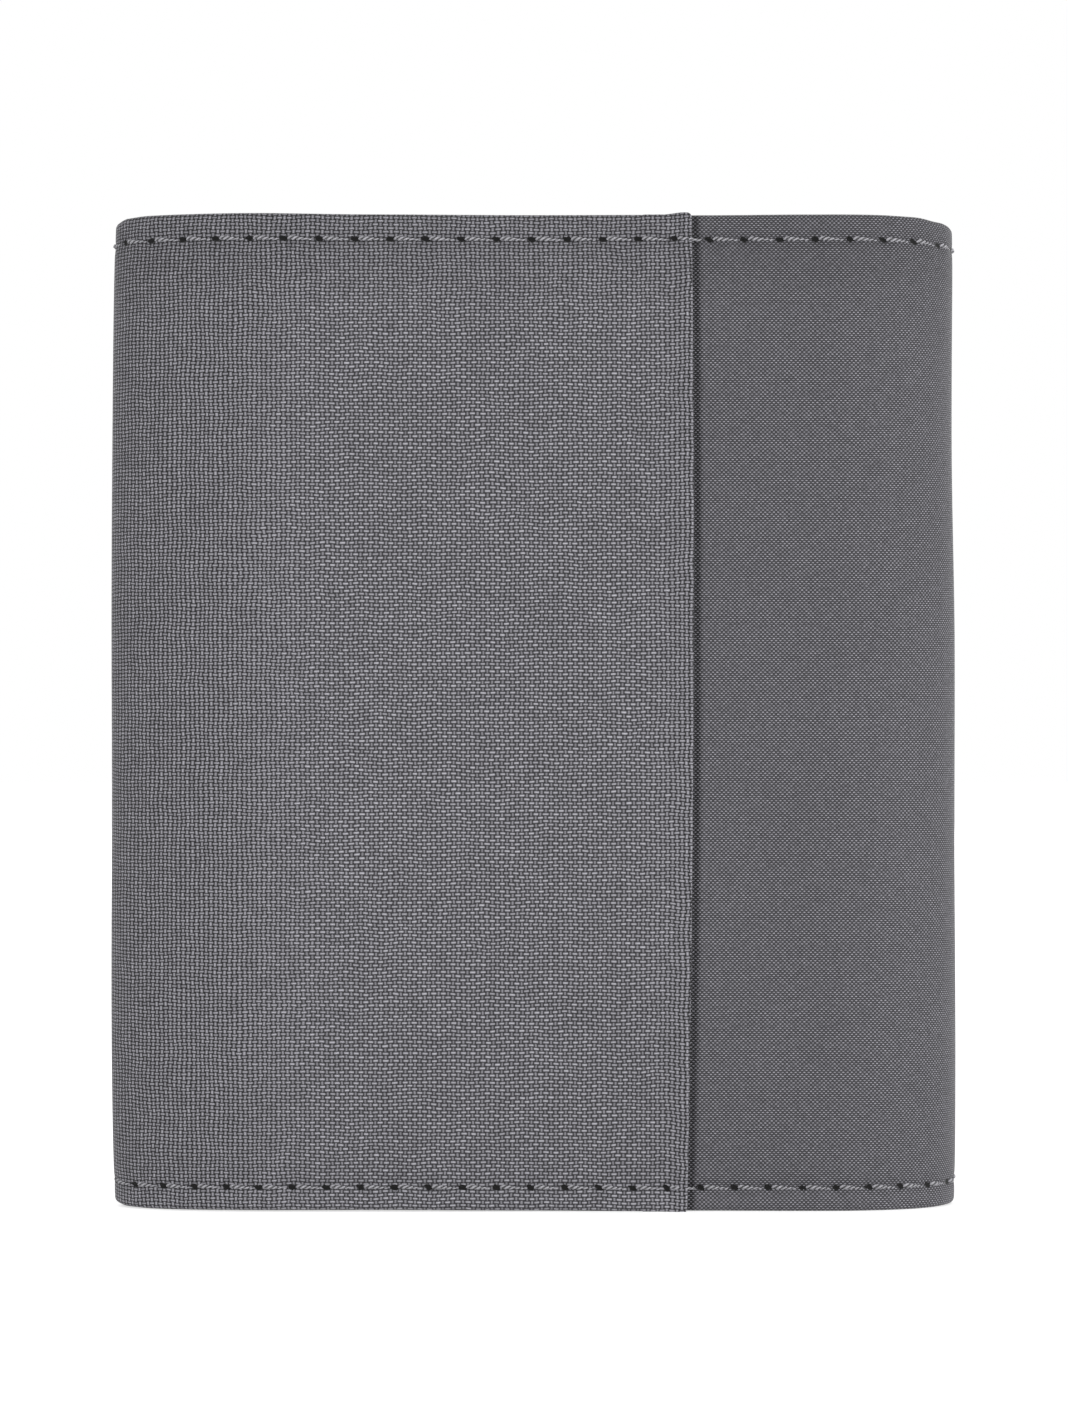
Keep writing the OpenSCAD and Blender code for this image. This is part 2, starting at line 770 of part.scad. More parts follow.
module window_backing() {
    color("#616166")
        layer(
            inner_pocket_x0, inner_pocket_x1, backing_in_y, inner_divider_in_y,
            window_z0, window_z0 + window_h);
}

module window_film() {
    color("#c9d3d6")
        layer(
            inner_pocket_x0 + window_border / 2, inner_pocket_x1 - window_border / 2,
            film_in_y, backing_in_y, window_z0 + window_border / 2, window_z0 + window_h - window_border / 2);
}

module window_border_cloth() {
    x_mid = (inner_pocket_x0 + inner_pocket_x1) / 2;
    color("#6d6c71")
        difference() {
            layer(
                inner_pocket_x0, inner_pocket_x1, film_in_y - border_t, film_in_y,
                window_z0, window_z0 + window_h);
            translate([0, cut, 0])
                round_layer(
                    inner_pocket_x0 + window_border, inner_pocket_x1 - window_border,
                    film_in_y - border_t - 2 * cut, film_in_y,
                    window_z0 + window_border, window_z0 + window_h - window_border, window_corner_r);
            translate([x_mid, film_in_y + cut, window_z0 + window_h])
                rotate([90, 0, 0])
                    cylinder(r = thumb_r, h = border_t + 2 * cut);
        }
}

shell_coarse_back();
shell_fine_back();
back_padding();
note_lining_back();
note_divider_back();
note_bottom_seam();
card_slot_rear();
card_slot_middle();
card_slot_front();
shell_fine_spine();
outer_spine_lining();
shell_fine_flap();
outer_flap_padding();
note_divider_outer_flap();
hook_patch();
pouch_gusset();
pouch_panel_inboard();
pouch_panel_outboard();
zip_tapes();
zip_teeth_inboard();
zip_teeth_outboard();
zip_stops();
zip_slider();
zip_pull_ring();
zip_pull_tab();
shell_coarse_spine();
inner_spine_lining();
shell_coarse_flap();
inner_flap_padding();
note_divider_inner_flap();
loop_patch();
window_backing();
window_film();
window_border_cloth();
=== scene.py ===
import math
import random

import bmesh
import bpy
import numpy as np
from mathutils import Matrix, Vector


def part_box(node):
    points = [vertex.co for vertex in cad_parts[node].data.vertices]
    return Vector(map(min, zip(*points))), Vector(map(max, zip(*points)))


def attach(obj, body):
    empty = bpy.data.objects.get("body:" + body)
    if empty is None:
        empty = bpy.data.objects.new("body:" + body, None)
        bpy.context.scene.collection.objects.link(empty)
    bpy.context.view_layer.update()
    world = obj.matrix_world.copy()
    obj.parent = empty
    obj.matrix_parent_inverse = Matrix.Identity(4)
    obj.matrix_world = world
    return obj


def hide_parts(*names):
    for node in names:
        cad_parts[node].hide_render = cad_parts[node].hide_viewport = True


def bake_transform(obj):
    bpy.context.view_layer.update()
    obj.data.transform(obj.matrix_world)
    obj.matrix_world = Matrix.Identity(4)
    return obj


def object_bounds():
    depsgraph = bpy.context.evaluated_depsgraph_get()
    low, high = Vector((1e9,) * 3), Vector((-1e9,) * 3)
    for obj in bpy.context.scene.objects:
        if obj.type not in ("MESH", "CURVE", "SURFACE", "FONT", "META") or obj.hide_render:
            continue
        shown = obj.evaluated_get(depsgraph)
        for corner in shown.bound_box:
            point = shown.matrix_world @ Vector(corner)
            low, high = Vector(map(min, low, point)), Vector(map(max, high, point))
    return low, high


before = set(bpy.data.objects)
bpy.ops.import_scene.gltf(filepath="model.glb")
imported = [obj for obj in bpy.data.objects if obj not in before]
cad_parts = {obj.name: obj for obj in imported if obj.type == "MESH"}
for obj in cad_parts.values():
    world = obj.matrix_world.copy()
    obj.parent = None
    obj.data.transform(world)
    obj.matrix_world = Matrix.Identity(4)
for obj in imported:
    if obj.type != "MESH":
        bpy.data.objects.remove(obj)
cad_low, cad_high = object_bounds()

MM = 0.001

# Height and faces of the wallet, from the frame
HEIGHT = cad_high.z
MID_Z = HEIGHT / 2
COARSE_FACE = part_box("shell_coarse_back")[0].y
FINE_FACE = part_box("shell_fine_back")[0].y
FRONT_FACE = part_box("shell_fine_flap")[1].y
INNER_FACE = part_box("shell_coarse_flap")[1].y
LINING_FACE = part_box("note_lining_back")[1].y
OUTER_TIP_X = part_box("shell_fine_flap")[0].x
INNER_TIP_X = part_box("shell_coarse_flap")[1].x

# Roundings of the two folds, as far as they reach in from the sides
LEFT_REACH = 18.5 * MM
RIGHT_REACH = 14 * MM

# The fall of the faces towards the top and bottom edges, and of the flaps towards their free edges
EDGE_DROP = 1 * MM
EDGE_BAND = 7 * MM
SIDE_SHARE = 0.08
OUTER_TIP_DROP, OUTER_TIP_BAND = 1.8 * MM, 14 * MM
INNER_TIP_DROP, INNER_TIP_BAND = 1 * MM, 12 * MM

# How far the folds narrow towards the top and bottom, over which height
LEFT_TOP_PULL, LEFT_TOP_BAND = 0.5 * MM, 36 * MM
LEFT_FOOT_PULL, LEFT_FOOT_BAND = 0.44 * MM, 38 * MM
RIGHT_TOP_PULL = 0.22 * MM
RIGHT_TOP_START, RIGHT_TOP_END = 22 * MM, 46 * MM

# How far the sewn edges lie inside the wallet's full height, along the skin from left to right, in millimetres
TOP_EDGE = ((-49, 0.8), (-47.2, 0.45), (-45, 0.15), (-42, 0.03), (-31, 0.0), (-16, 0.16), (0, 0.24),
            (18, 0.2), (29, 0.12), (36, 0.1), (41, 0.17), (45, 0.49), (50, 0.9))
FOOT_EDGE = ((-49, 0.5), (-47, 0.3), (-45, 0.12), (-42, 0.06), (-30, 0.12), (-16, 0.14), (0, 0.08),
             (12, 0.0), (19, 0.03), (28, 0.0), (42, 0.0), (48, 0.1), (50, 0.3))
EDGE_POWER = 18

# Thickness of the sewn covers: in the panels, in the folds and at their sewn edges
BACK_COARSE_T = LINING_FACE - COARSE_FACE
BACK_FINE_T = LINING_FACE - FINE_FACE
FOLD_COARSE_T, FOLD_FINE_T = 1.6 * MM, 1.1 * MM
INNER_FLAP_T, OUTER_FLAP_T = 2.8 * MM, 1.3 * MM
INNER_TIP_T, OUTER_TIP_T = 2.27 * MM, 1.75 * MM
EDGE_T, THIN_EDGE_T = 1.2 * MM, 0.7 * MM
TURNED_EDGE = 1 * MM

# Distances from point to point in the covers, and how round their corners are
COVER_STEP, COVER_ROW, SEAM_ROW = 0.46 * MM, 1.5 * MM, 0.36 * MM
COVER_CORNER, LAP_CORNER, CORNER_REACH = 1.2 * MM, 0.5 * MM, 5 * MM

# The coarse cloth's turned edge: its bowed line, and how it stands
LAP_START_X = 16.1 * MM
LAP_MOST_X, LAP_MOST_Z, LAP_BOW = 16.77 * MM, 68 * MM, 1.6 * MM
LAP_T = 0.52 * MM
LAP_W = 4.6 * MM
LAP_STEP, LAP_STEP_START, LAP_STEP_END = FINE_FACE - COARSE_FACE, 0.2 * MM, 1.1 * MM
LAP_LEAN_END = 6 * MM
NEAR_LAP_START, NEAR_LAP_END, NEAR_LAP_STEP = 0.5 * MM, 2.6 * MM, 0.12 * MM
LAP_TURN, LAP_TURN_STEP = 0.4 * MM, 0.1 * MM
LAP_PUFF, PUFF_AT, PUFF_W = 0.12 * MM, 0.8 * MM, 0.9 * MM
LAP_CREASE, CREASE_AT, CREASE_W = 0.32 * MM, 0.3 * MM, 0.4 * MM
# SHADE_AT and SHADE_W place painted shade in the crease beside the turned edge
SHADE_AT, SHADE_W = 0.35 * MM, 0.45 * MM
LAP_POKE, POKE_START, POKE_END = 0.22 * MM, 0.3 * MM, 2.5 * MM

# The two stitched seams, at the top and at the foot: height, distance from stitch to stitch, one needle hole
FOOT_SEAM_Z, FOOT_PITCH = 2.55 * MM, 3.57 * MM
SEAMS = ((HEIGHT - 2.75 * MM, 3.72 * MM, 18.4 * MM), (FOOT_SEAM_Z, FOOT_PITCH, 17.5 * MM))
THREAD_R = 0.23 * MM
GROOVE_DEPTH, GROOVE_W, GROOVE_BEAT = 0.2 * MM, 0.6 * MM, 0.45
FOLD_GROOVE_SHARE, FOLD_GROOVE_START, FOLD_GROOVE_END = 0.35, 34 * MM, 42 * MM
PUCKER, PUCKER_REACH = 0.05 * MM, 2.2 * MM
WAVE = 0.07 * MM

# One stitch of a seam, from its needle hole: share of the way, depth in the cloth in millimetres, and fullness
SEAM_STITCH = np.array([
    [0.08, 0.11, 0.15, 0.2, 0.26, 0.32, 0.38, 0.44, 0.5, 0.58, 0.66, 0.74, 0.8, 0.85, 0.89],
    [0.7, 0.35, 0.1, -0.02, -0.06, -0.05, -0.02, 0.02, 0.06, 0.09, 0.1, 0.1, 0.15, 0.35, 0.75],
    [0.8, 0.95, 1.1, 1.15, 1.15, 1.1, 1.0, 0.9, 0.8, 0.75, 0.72, 0.75, 0.8, 0.8, 0.7]])
STITCH_SLANT = 0.3 * MM

# Where the weave goes slack, with painted sheen round the folds and along the turned edge and painted shade towards
# the top
FOLD_SLACK_LIGHT_START, FOLD_SLACK_LIGHT_END = 19 * MM, 35 * MM
TOP_SLACK_SHADE, TOP_SLACK_SHADE_START, TOP_SLACK_SHADE_END = 0.6, 4 * MM, 14 * MM
LAP_SLACK_LIGHT, LAP_SLACK_LIGHT_W = 0.7, 5 * MM
LAP_RIM_START, LAP_RIM_END = 0.7 * MM, 1.4 * MM

# Painted light and shade by height, in the cloth's colour: lighter at the foot, darker under the top edge, higher up
# and in the seam grooves
FOOT_LIGHT, FOOT_LIGHT_START, FOOT_LIGHT_END = 0.12, 0.6 * MM, 3 * MM
TOP_SHADE, TOP_SHADE_START, TOP_SHADE_FULL, TOP_SHADE_END = 0.1, 94 * MM, 101 * MM, 102.5 * MM
RISE_SHADE, RISE_START, RISE_END = 0.04, 30 * MM, 88 * MM
SEAM_SHADE, SEAM_SHADE_W = 0.16, 0.5 * MM

# Inside: turned edges, hems, stitches, and the band in which a divider bends to its bottom seam
CLOTH_EDGE = 0.22 * MM
CLOTH_STEP = 1.6 * MM
PANEL_TURN = 1.5 * MM
TAPES_APART = 2.52 * MM
HEM, HEM_END = 2.6 * MM, 1.5 * MM
SLOT_HEM, SLOT_HEM_FOOT, SLOT_HEM_FULL = 3.1 * MM, 4.15 * MM, 3.85 * MM
SLOT_SAG, SLOT_SAG_BAND = 0.45 * MM, 20 * MM
POUCH_SEAM, POUCH_SEAM_END = 1.3 * MM, 2.4 * MM
POUCH_PUFF, GUSSET_TUCK = 0.3 * MM, 0.55 * MM
SEWN_GAP = 0.03 * MM
BOTTOM_BEND_START, BOTTOM_BEND_END = 3.2 * MM, 7 * MM
PRESS, PRESS_W = 0.07 * MM, 0.4 * MM
STITCH_PITCH, TAPE_STITCH_PITCH, STITCH_R = 2.6 * MM, 2.2 * MM, 0.2 * MM
STITCH_SHARE = np.array([0.04, 0.1, 0.25, 0.5, 0.75, 0.9, 0.96])
STITCH_DEPTH = np.array([0.5, 0.12, -0.06, -0.1, -0.06, 0.12, 0.5]) * MM

# One hook and one loop, in millimetres, how far they stay from the tape's edge, and how many loops there are
HOOK_FORM = ((0, 0, 0), (0, -0.2, 0), (0, -0.34, 0.04), (0, -0.4, 0.14), (0, -0.38, 0.25), (0, -0.27, 0.31))
LOOP_FORM = ((-0.42, 0, 0), (-0.4, 0.24, 0.05), (-0.16, 0.44, 0.12), (0.16, 0.44, 0.06), (0.4, 0.22, -0.04),
             (0.42, 0, 0))
HOOK_R, HOOK_SIDES, HOOK_PITCH_X, HOOK_PITCH_Z, HOOK_MARGIN = 0.075 * MM, 4, 1.05 * MM, 1.35 * MM, 2.2 * MM
LOOP_R, LOOP_SIDES, LOOP_MARGIN, LOOP_COUNT = 0.04 * MM, 3, 1.9 * MM, 2300

# The camera, as the photograph was taken
CAMERA_DISTANCE = 500 * MM
PIXELS_PER_METRE = 9540
IMAGE_HEIGHT_PX = 1424
SENSOR = 36
OBJECT_SHIFT_X = 0.02 * MM
CAMERA_Z = 52.51 * MM


def from_screen(*colour):
    """A colour as it shows on a screen, from 0 to 255, as the shader takes it."""
    def linear(value):
        value /= 255
        return value / 12.92 if value <= 0.04045 else ((value + 0.055) / 1.055) ** 2.4
    return [linear(value) for value in colour]


class Graph:
    """Adds nodes to a tree; most calls give back the new node's output."""

    def __init__(self, tree):
        self.nodes, self.links = tree.nodes, tree.links

    def fill(self, node, inputs):
        """Links or sets a node's inputs, each under its name or number."""
        for name, value in inputs.items():
            if isinstance(value, bpy.types.NodeSocket):
                self.links.new(value, node.inputs[name])
            else:
                node.inputs[name].default_value = value

    def add(self, kind, inputs={}, **settings):
        made = self.nodes.new(kind)
        for name, value in settings.items():
            setattr(made, name, value)
        self.fill(made, inputs)
        return made

    def math(self, operation, *values):
        return self.add("ShaderNodeMath", dict(enumerate(values)), operation=operation).outputs[0]

    def plus(self, first, second):
        return self.math("ADD", first, second)

    def minus(self, first, second):
        return self.math("SUBTRACT", first, second)

    def times(self, first, second, added=None):
        """The first times the second, plus what is added."""
        if added is None:
            return self.math("MULTIPLY", first, second)
        return self.math("MULTIPLY_ADD", first, second, added)

    def varied(self, pattern, amount, level=1.0):
        """A level, made more and less by a pattern that goes from 0 to 1."""
        return self.times(self.minus(pattern, 0.5), amount, level)

    def spread(self, value, low, high, to_low=0.0, to_high=1.0):
        """Goes smoothly from to_low to to_high as the value goes from low to high."""
        ends = {"Value": value, "From Min": low, "From Max": high, "To Min": to_low, "To Max": to_high}
        return self.add("ShaderNodeMapRange", ends, interpolation_type="SMOOTHSTEP").outputs["Result"]

    def noise(self, vector, scale, detail=2.0, rough=0.5, output="Fac"):
        inputs = {"Vector": vector, "Scale": scale, "Detail": detail, "Roughness": rough}
        return self.add("ShaderNodeTexNoise", inputs).outputs[output]

    def vector(self, x, y):
        return self.add("ShaderNodeCombineXYZ", {"X": x, "Y": y}).outputs[0]

    def parts(self, vector):
        return self.add("ShaderNodeSeparateXYZ", {0: vector}).outputs

    def mix(self, factor, first, second, kind="RGBA"):
        inputs = {"Factor": factor, "A": first, "B": second}
        return self.add("ShaderNodeMix", inputs, data_type=kind).outputs["Result"]

    def scaled(self, colour, factor):
        return self.add("ShaderNodeVectorMath", {0: colour, "Scale": factor}, operation="SCALE").outputs[0]

    def painted(self, name):
        """The values that a mesh carries under a name."""
        return self.add("ShaderNodeAttribute", attribute_name=name).outputs["Fac"]

    def place(self):
        """The place on the object."""
        return self.add("ShaderNodeTexCoord").outputs["Object"]

    def bump(self, shader, height, strength, distance):
        inputs = {"Height": height, "Strength": strength, "Distance": distance}
        self.fill(shader, {"Normal": self.add("ShaderNodeBump", inputs).outputs["Normal"]})


def shader_group(name, inputs, outputs):
    """An empty node group that takes a place and other inputs, with its graph, its inputs and its last node."""
    tree = bpy.data.node_groups.new(name, "ShaderNodeTree")
    tree.interface.new_socket("Place", in_out="INPUT", socket_type="NodeSocketVector")
    for way, labels in (("INPUT", inputs), ("OUTPUT", outputs)):
        for label in labels:
            tree.interface.new_socket(label, in_out=way, socket_type="NodeSocketFloat")
    graph = Graph(tree)
    return tree, graph, graph.add("NodeGroupInput").outputs, graph.add("NodeGroupOutput")


def plain_weave_group():
    """Warp yarns stand up and weft yarns lie across, each over and under the next.

    The weft lead says how much more of the weft lies on top. The crests mark where the cloth paints
    highlights on the yarns, and the gap where it paints shade between them."""
    tree, g, given, result = shader_group(
        "Plain weave", ("Warp pitch", "Weft pitch", "Wander", "Weft lead"),
        ("Height", "Weft crest", "Warp crest", "Gap", "Yarn"))
    place, drift = g.parts(given["Place"]), g.parts(g.noise(given["Place"], 260.0, output="Color"))
    column = g.varied(drift["X"], given["Wander"], g.math("DIVIDE", place["X"], given["Warp pitch"]))
    row = g.varied(drift["Y"], given["Wander"], g.math("DIVIDE", place["Y"], given["Weft pitch"]))
    warp_number, weft_number = g.math("FLOOR", column), g.math("FLOOR", row)
    across = g.minus(g.minus(column, warp_number), 0.5)
    up = g.minus(g.minus(row, weft_number), 0.5)
    odd = g.math("FLOORED_MODULO", g.plus(warp_number, weft_number), 2.0)
    side = g.times(odd, -2.0, 1.0)

    def yarn(along, over, sign):
        """A yarn's height, and its crest."""
        arch = g.times(g.times(g.math("COSINE", g.times(along, math.pi)), side), sign)
        rounding = g.minus(1.0, g.times(g.times(over, over), 4.0))
        crest = g.times(g.math("POWER", g.math("MAXIMUM", rounding, 0.0), 4.0), g.spread(arch, -0.4, 0.4))
        return g.times(arch, 0.5, g.times(rounding, 0.5)), crest

    weft, weft_crest = yarn(across, up, 1.0)
    warp, warp_crest = yarn(up, across, -1.0)
    weft, warp = g.plus(weft, given["Weft lead"]), g.minus(warp, given["Weft lead"])
    height = g.math("MAXIMUM", weft, warp)
    on_top = g.spread(g.minus(weft, warp), -0.12, 0.12)
    weft_tone = g.noise(g.vector(g.times(column, 0.35), g.times(weft_number, 7.31)), 1.0, 1.0)
    warp_tone = g.noise(g.vector(g.times(warp_number, 5.17), g.times(row, 0.35)), 1.0, 1.0)
    crossing = g.add("ShaderNodeTexWhiteNoise", {"Vector": g.vector(warp_number, weft_number)},
                     noise_dimensions="2D").outputs["Value"]
    g.fill(result, {
        "Height": height, "Gap": g.spread(height, 0.45, 0.05),
        "Weft crest": g.times(weft_crest, on_top), "Warp crest": g.times(warp_crest, g.minus(1.0, on_top)),
        "Yarn": g.varied(crossing, 0.6, g.mix(on_top, warp_tone, weft_tone, "FLOAT"))})
    return tree


def needle_hole_group():
    """Slanted holes along one seam, where the thread goes into the cloth; the cloth paints them near black as shade.
    """
    half_length, half_width = 0.52 * MM, 0.3 * MM
    tree, g, given, result = shader_group("Needle holes", ("Seam", "Pitch", "First hole"), ("Hole",))
    place = g.parts(given["Place"])
    step = g.math("DIVIDE", g.minus(place["X"], given["First hole"]), given["Pitch"])
    along = g.times(g.minus(step, g.math("ROUND", step)), given["Pitch"])
    above = g.minus(place["Y"], given["Seam"])
    slant, rise = g.times(above, -0.9, along), g.times(along, 0.5, above)
    reach = g.plus(g.math("POWER", g.math("DIVIDE", slant, half_length), 2.0),
                   g.math("POWER", g.math("DIVIDE", rise, half_width), 2.0))
    ragged = g.noise(given["Place"], 2600.0)
    g.fill(result, {"Hole": g.spread(g.varied(ragged, 4.0, reach), 1.5, 0.9)})
    return tree


WEAVE = plain_weave_group()
HOLES = needle_hole_group()
# The needle holes' painted shade, near black, and how far the holes sink in the bump
HOLE_PAINTED_SHADE, HOLE_DEPTH = (0.001, 0.001, 0.001, 1), -3.0
# Painted shade in the crease beside the turned edge, in the yarn tone and in the colour; the clouds are random tone
CREASE_TONE, CREASE_SHADE, CLOUDS = -0.22, -0.1, 0.12


def new_material(name):
    made = bpy.data.materials.new(name)
    made.use_nodes = True
    graph = Graph(made.node_tree)
    return made, graph, next(n for n in graph.nodes if n.type == "BSDF_PRINCIPLED")


def woven(name, grey, warp, weft, wander, tones, melange, bump, rough, sheen, seams=False, slack_and_painted_light={}):
    """Plain-woven cloth, by the pitch of its warp and weft yarns and how far they wander.

    tones are ground, where the tone starts, rise and the two crests, by which it rises with the yarns, gap,
    which darkens the gaps, and lead, the weft's. Rise and the crests are painted light and highlights on the
    yarns, and gap is painted shade between them. The slack mask adds to them where the warp yarns stand up
    between the weft yarns; with it come painted sheen round the folds and along the turned edge, and painted
    shade towards the top. melange says how much the yarns differ, and seams puts in needle holes painted near
    black as shade, painted shade in the crease beside the turned edge, and painted light and shade by height."""
    made, g, shader = new_material(name)
    place = g.add("ShaderNodeUVMap", uv_map="cloth").outputs["UV"]
    # the slack mask moves the painted highlights from weft to warp and darkens the tone: painted sheen and shade,
    # with the weave's lead
    if slack_and_painted_light:
        slack_light_mask = g.painted("slack_and_painted_light")
        tones = {part: g.times(slack_light_mask, slack_and_painted_light[part], value) if part in slack_and_painted_light else value
                 for part, value in tones.items()}
    inputs = {"Place": place, "Warp pitch": warp, "Weft pitch": weft, "Wander": wander, "Weft lead": tones["lead"]}
    cloth = g.add("ShaderNodeGroup", inputs, node_tree=WEAVE).outputs
    # painted light and highlights: the tone rises with the yarns' height and at their crests; painted shade darkens
    # the gaps between them
    tone = tones["ground"]
    for output, part in (("Height", "rise"), ("Weft crest", "weft_crest"), ("Warp crest", "warp_crest")):
        tone = g.times(cloth[output], tones[part], tone)
    if seams:
        # painted shade in the crease beside the turned edge
        crease = g.painted("crease")
        tone = g.times(crease, CREASE_TONE, tone)
    tone = g.math("MAXIMUM", tone, 0.0)
    tone = g.times(tone, g.minus(1.0, g.times(cloth["Gap"], tones["gap"])))
    tone = g.times(tone, g.varied(cloth["Yarn"], melange))
    tone = g.times(tone, g.varied(g.noise(place, 90.0, 3.0), CLOUDS))
    colour, height = g.scaled(grey, tone), cloth["Height"]
    if seams:
        # the needle holes are painted near black: painted shade in them
        hole = g.math("MAXIMUM", *(
            g.add("ShaderNodeGroup", {"Place": place, "Seam": seam, "Pitch": pitch, "First hole": first},
                  node_tree=HOLES).outputs[0] for seam, pitch, first in SEAMS))
        height = g.times(hole, HOLE_DEPTH, height)
        colour = g.scaled(g.mix(hole, colour, HOLE_PAINTED_SHADE), g.times(crease, CREASE_SHADE, 1.0))
        # painted light and shade by height, with painted shade in the seam grooves
        colour = g.scaled(colour, g.plus(g.painted("painted_height_light"), 1.0))
    g.fill(shader, {"Base Color": colour, "Roughness": rough, "Specular IOR Level": 0.2,
                    "Sheen Weight": sheen, "Sheen Roughness": 0.4})
    g.bump(shader, height, bump, 0.3 * weft)
    return made


def sewing_thread():
    """Twisted thread; its plies are modelled, and fibres show along them. The sides of the plies that face each
    other are painted darker and their open sides lighter: painted shade and light.
    """
    made, g, shader = new_material("sewing_thread")
    fibre = g.noise(g.place(), 5200.0, 3.0, 0.6)
    tone = g.times(g.varied(fibre, 1.2), g.spread(g.painted("painted_ply_shade"), 0.1, 0.75, 1.25, 0.12))
    g.fill(shader, {"Base Color": g.scaled(from_screen(136, 135, 140), tone), "Roughness": 0.55,
                    "Sheen Weight": 0.2})
    g.bump(shader, fibre, 0.4, 0.05 * MM)
    return made


def moulded(name, grey, rough, grain, specular=0.5, metal=0.0):
    """Moulded or cast material with a fine grain and slight wear in its gloss."""
    made, g, shader = new_material(name)
    grains, cloudy = g.noise(g.place(), 1 / grain, 3.0, 0.6), g.noise(g.place(), 300.0, 3.0)
    g.fill(shader, {"Base Color": g.scaled(grey, g.varied(cloudy, 0.25)), "Metallic": metal,
                    "Roughness": g.times(grains, 0.2, rough - 0.1), "Specular IOR Level": specular})
    g.bump(shader, grains, 0.25, 0.05 * MM)
    return made


def clear_film():
    """Thin clear plastic with slight waves."""
    made, g, shader = new_material("clear_film")
    wave = g.noise(g.place(), 120.0)
    g.fill(shader, {"Base Color": (0.96, 0.97, 0.98, 1), "Transmission Weight": 1.0, "IOR": 1.45,
                    "Roughness": g.times(wave, 0.04, 0.02)})
    g.bump(shader, wave, 0.05, 0.4 * MM)
    return made


TAPE = woven(
    "zip_tape_cloth", from_screen(70, 69, 74), 0.35 * MM, 0.6 * MM, 0.1,
    dict(ground=0.5, rise=0.6, weft_crest=0.4, warp_crest=0.4, gap=0.6, lead=0.0), 0.25, 0.6, 0.8, 0.1)

# The finish of each material slot
FINISH = {
    "coarse_cloth": woven(
        "coarse_cloth", from_screen(111, 110, 115), 0.51 * MM, 0.385 * MM, 1.4,
        dict(ground=0.05, rise=0.25, weft_crest=1.75, warp_crest=1.0, gap=0.75, lead=0.33),
        0.5, 0.6, 0.75, 0.14, seams=True,
        slack_and_painted_light=dict(ground=-0.13, rise=0.1, weft_crest=-0.35, warp_crest=0.5, lead=-0.33)),
    "fine_cloth": woven(
        "fine_cloth", from_screen(101, 100, 105), 0.228 * MM, 0.221 * MM, 0.2,
        dict(ground=0.26, rise=0.0, weft_crest=2.0, warp_crest=0.14, gap=0.55, lead=0.0),
        0.5, 0.4, 0.75, 0.22, seams=True),
    "lining_cloth": woven(
        "lining_cloth", from_screen(84, 83, 88), 0.2 * MM, 0.2 * MM, 0.15,
        dict(ground=0.5, rise=0.6, weft_crest=0.5, warp_crest=0.1, gap=0.6, lead=0.0), 0.3, 0.3, 0.6, 0.15),
    "pocket_cloth": woven(
        "pocket_cloth", from_screen(92, 91, 96), 0.3 * MM, 0.28 * MM, 0.2,
        dict(ground=0.4, rise=0.7, weft_crest=0.8, warp_crest=0.2, gap=0.7, lead=0.0), 0.4, 0.4, 0.7, 0.15),
    "hook_tape": TAPE, "loop_tape": TAPE, "zip_tape": TAPE, "clear_film": clear_film(),
    "zip_teeth": moulded("zip_teeth_plastic", from_screen(60, 60, 64), 0.38, 0.2 * MM),
    "zip_metal": moulded("satin_nickel", from_screen(178, 178, 180), 0.3, 0.15 * MM, metal=1.0),
    "pull_tab": moulded("pull_tab_rubber", from_screen(58, 58, 62), 0.6, 0.14 * MM, 0.4)}
THREAD = sewing_thread()
HOOKS = moulded("hook_tape_plastic", from_screen(64, 63, 68), 0.45, 0.12 * MM)
LOOPS = moulded("loop_tape_fibre", from_screen(78, 77, 82), 0.8, 0.1 * MM, 0.25)


def smooth(value, low, high):
    """Goes smoothly from 0 to 1 as the value goes from low to high."""
    t = np.clip((value - low) / (high - low), 0, 1)
    return t * t * (3 - 2 * t)


def bell(offset, width):
    return np.exp(-(offset / width) ** 2)


def fall(z):
    """How far the face has fallen away at a height, near the top and bottom edges."""
    return EDGE_DROP * np.maximum(0, 1 - np.minimum(z, HEIGHT - z) / EDGE_BAND) ** 2


def eased(value, stops):
    """A value that goes smoothly from stop to stop; each stop is a place and a value, in millimetres."""
    result = np.full_like(value, stops[0][1] * MM, dtype=float)
    for (p0, v0), (p1, v1) in zip(stops, stops[1:]):
        result = result + (v1 - v0) * MM * smooth(value, p0 * MM, p1 * MM)
    return result


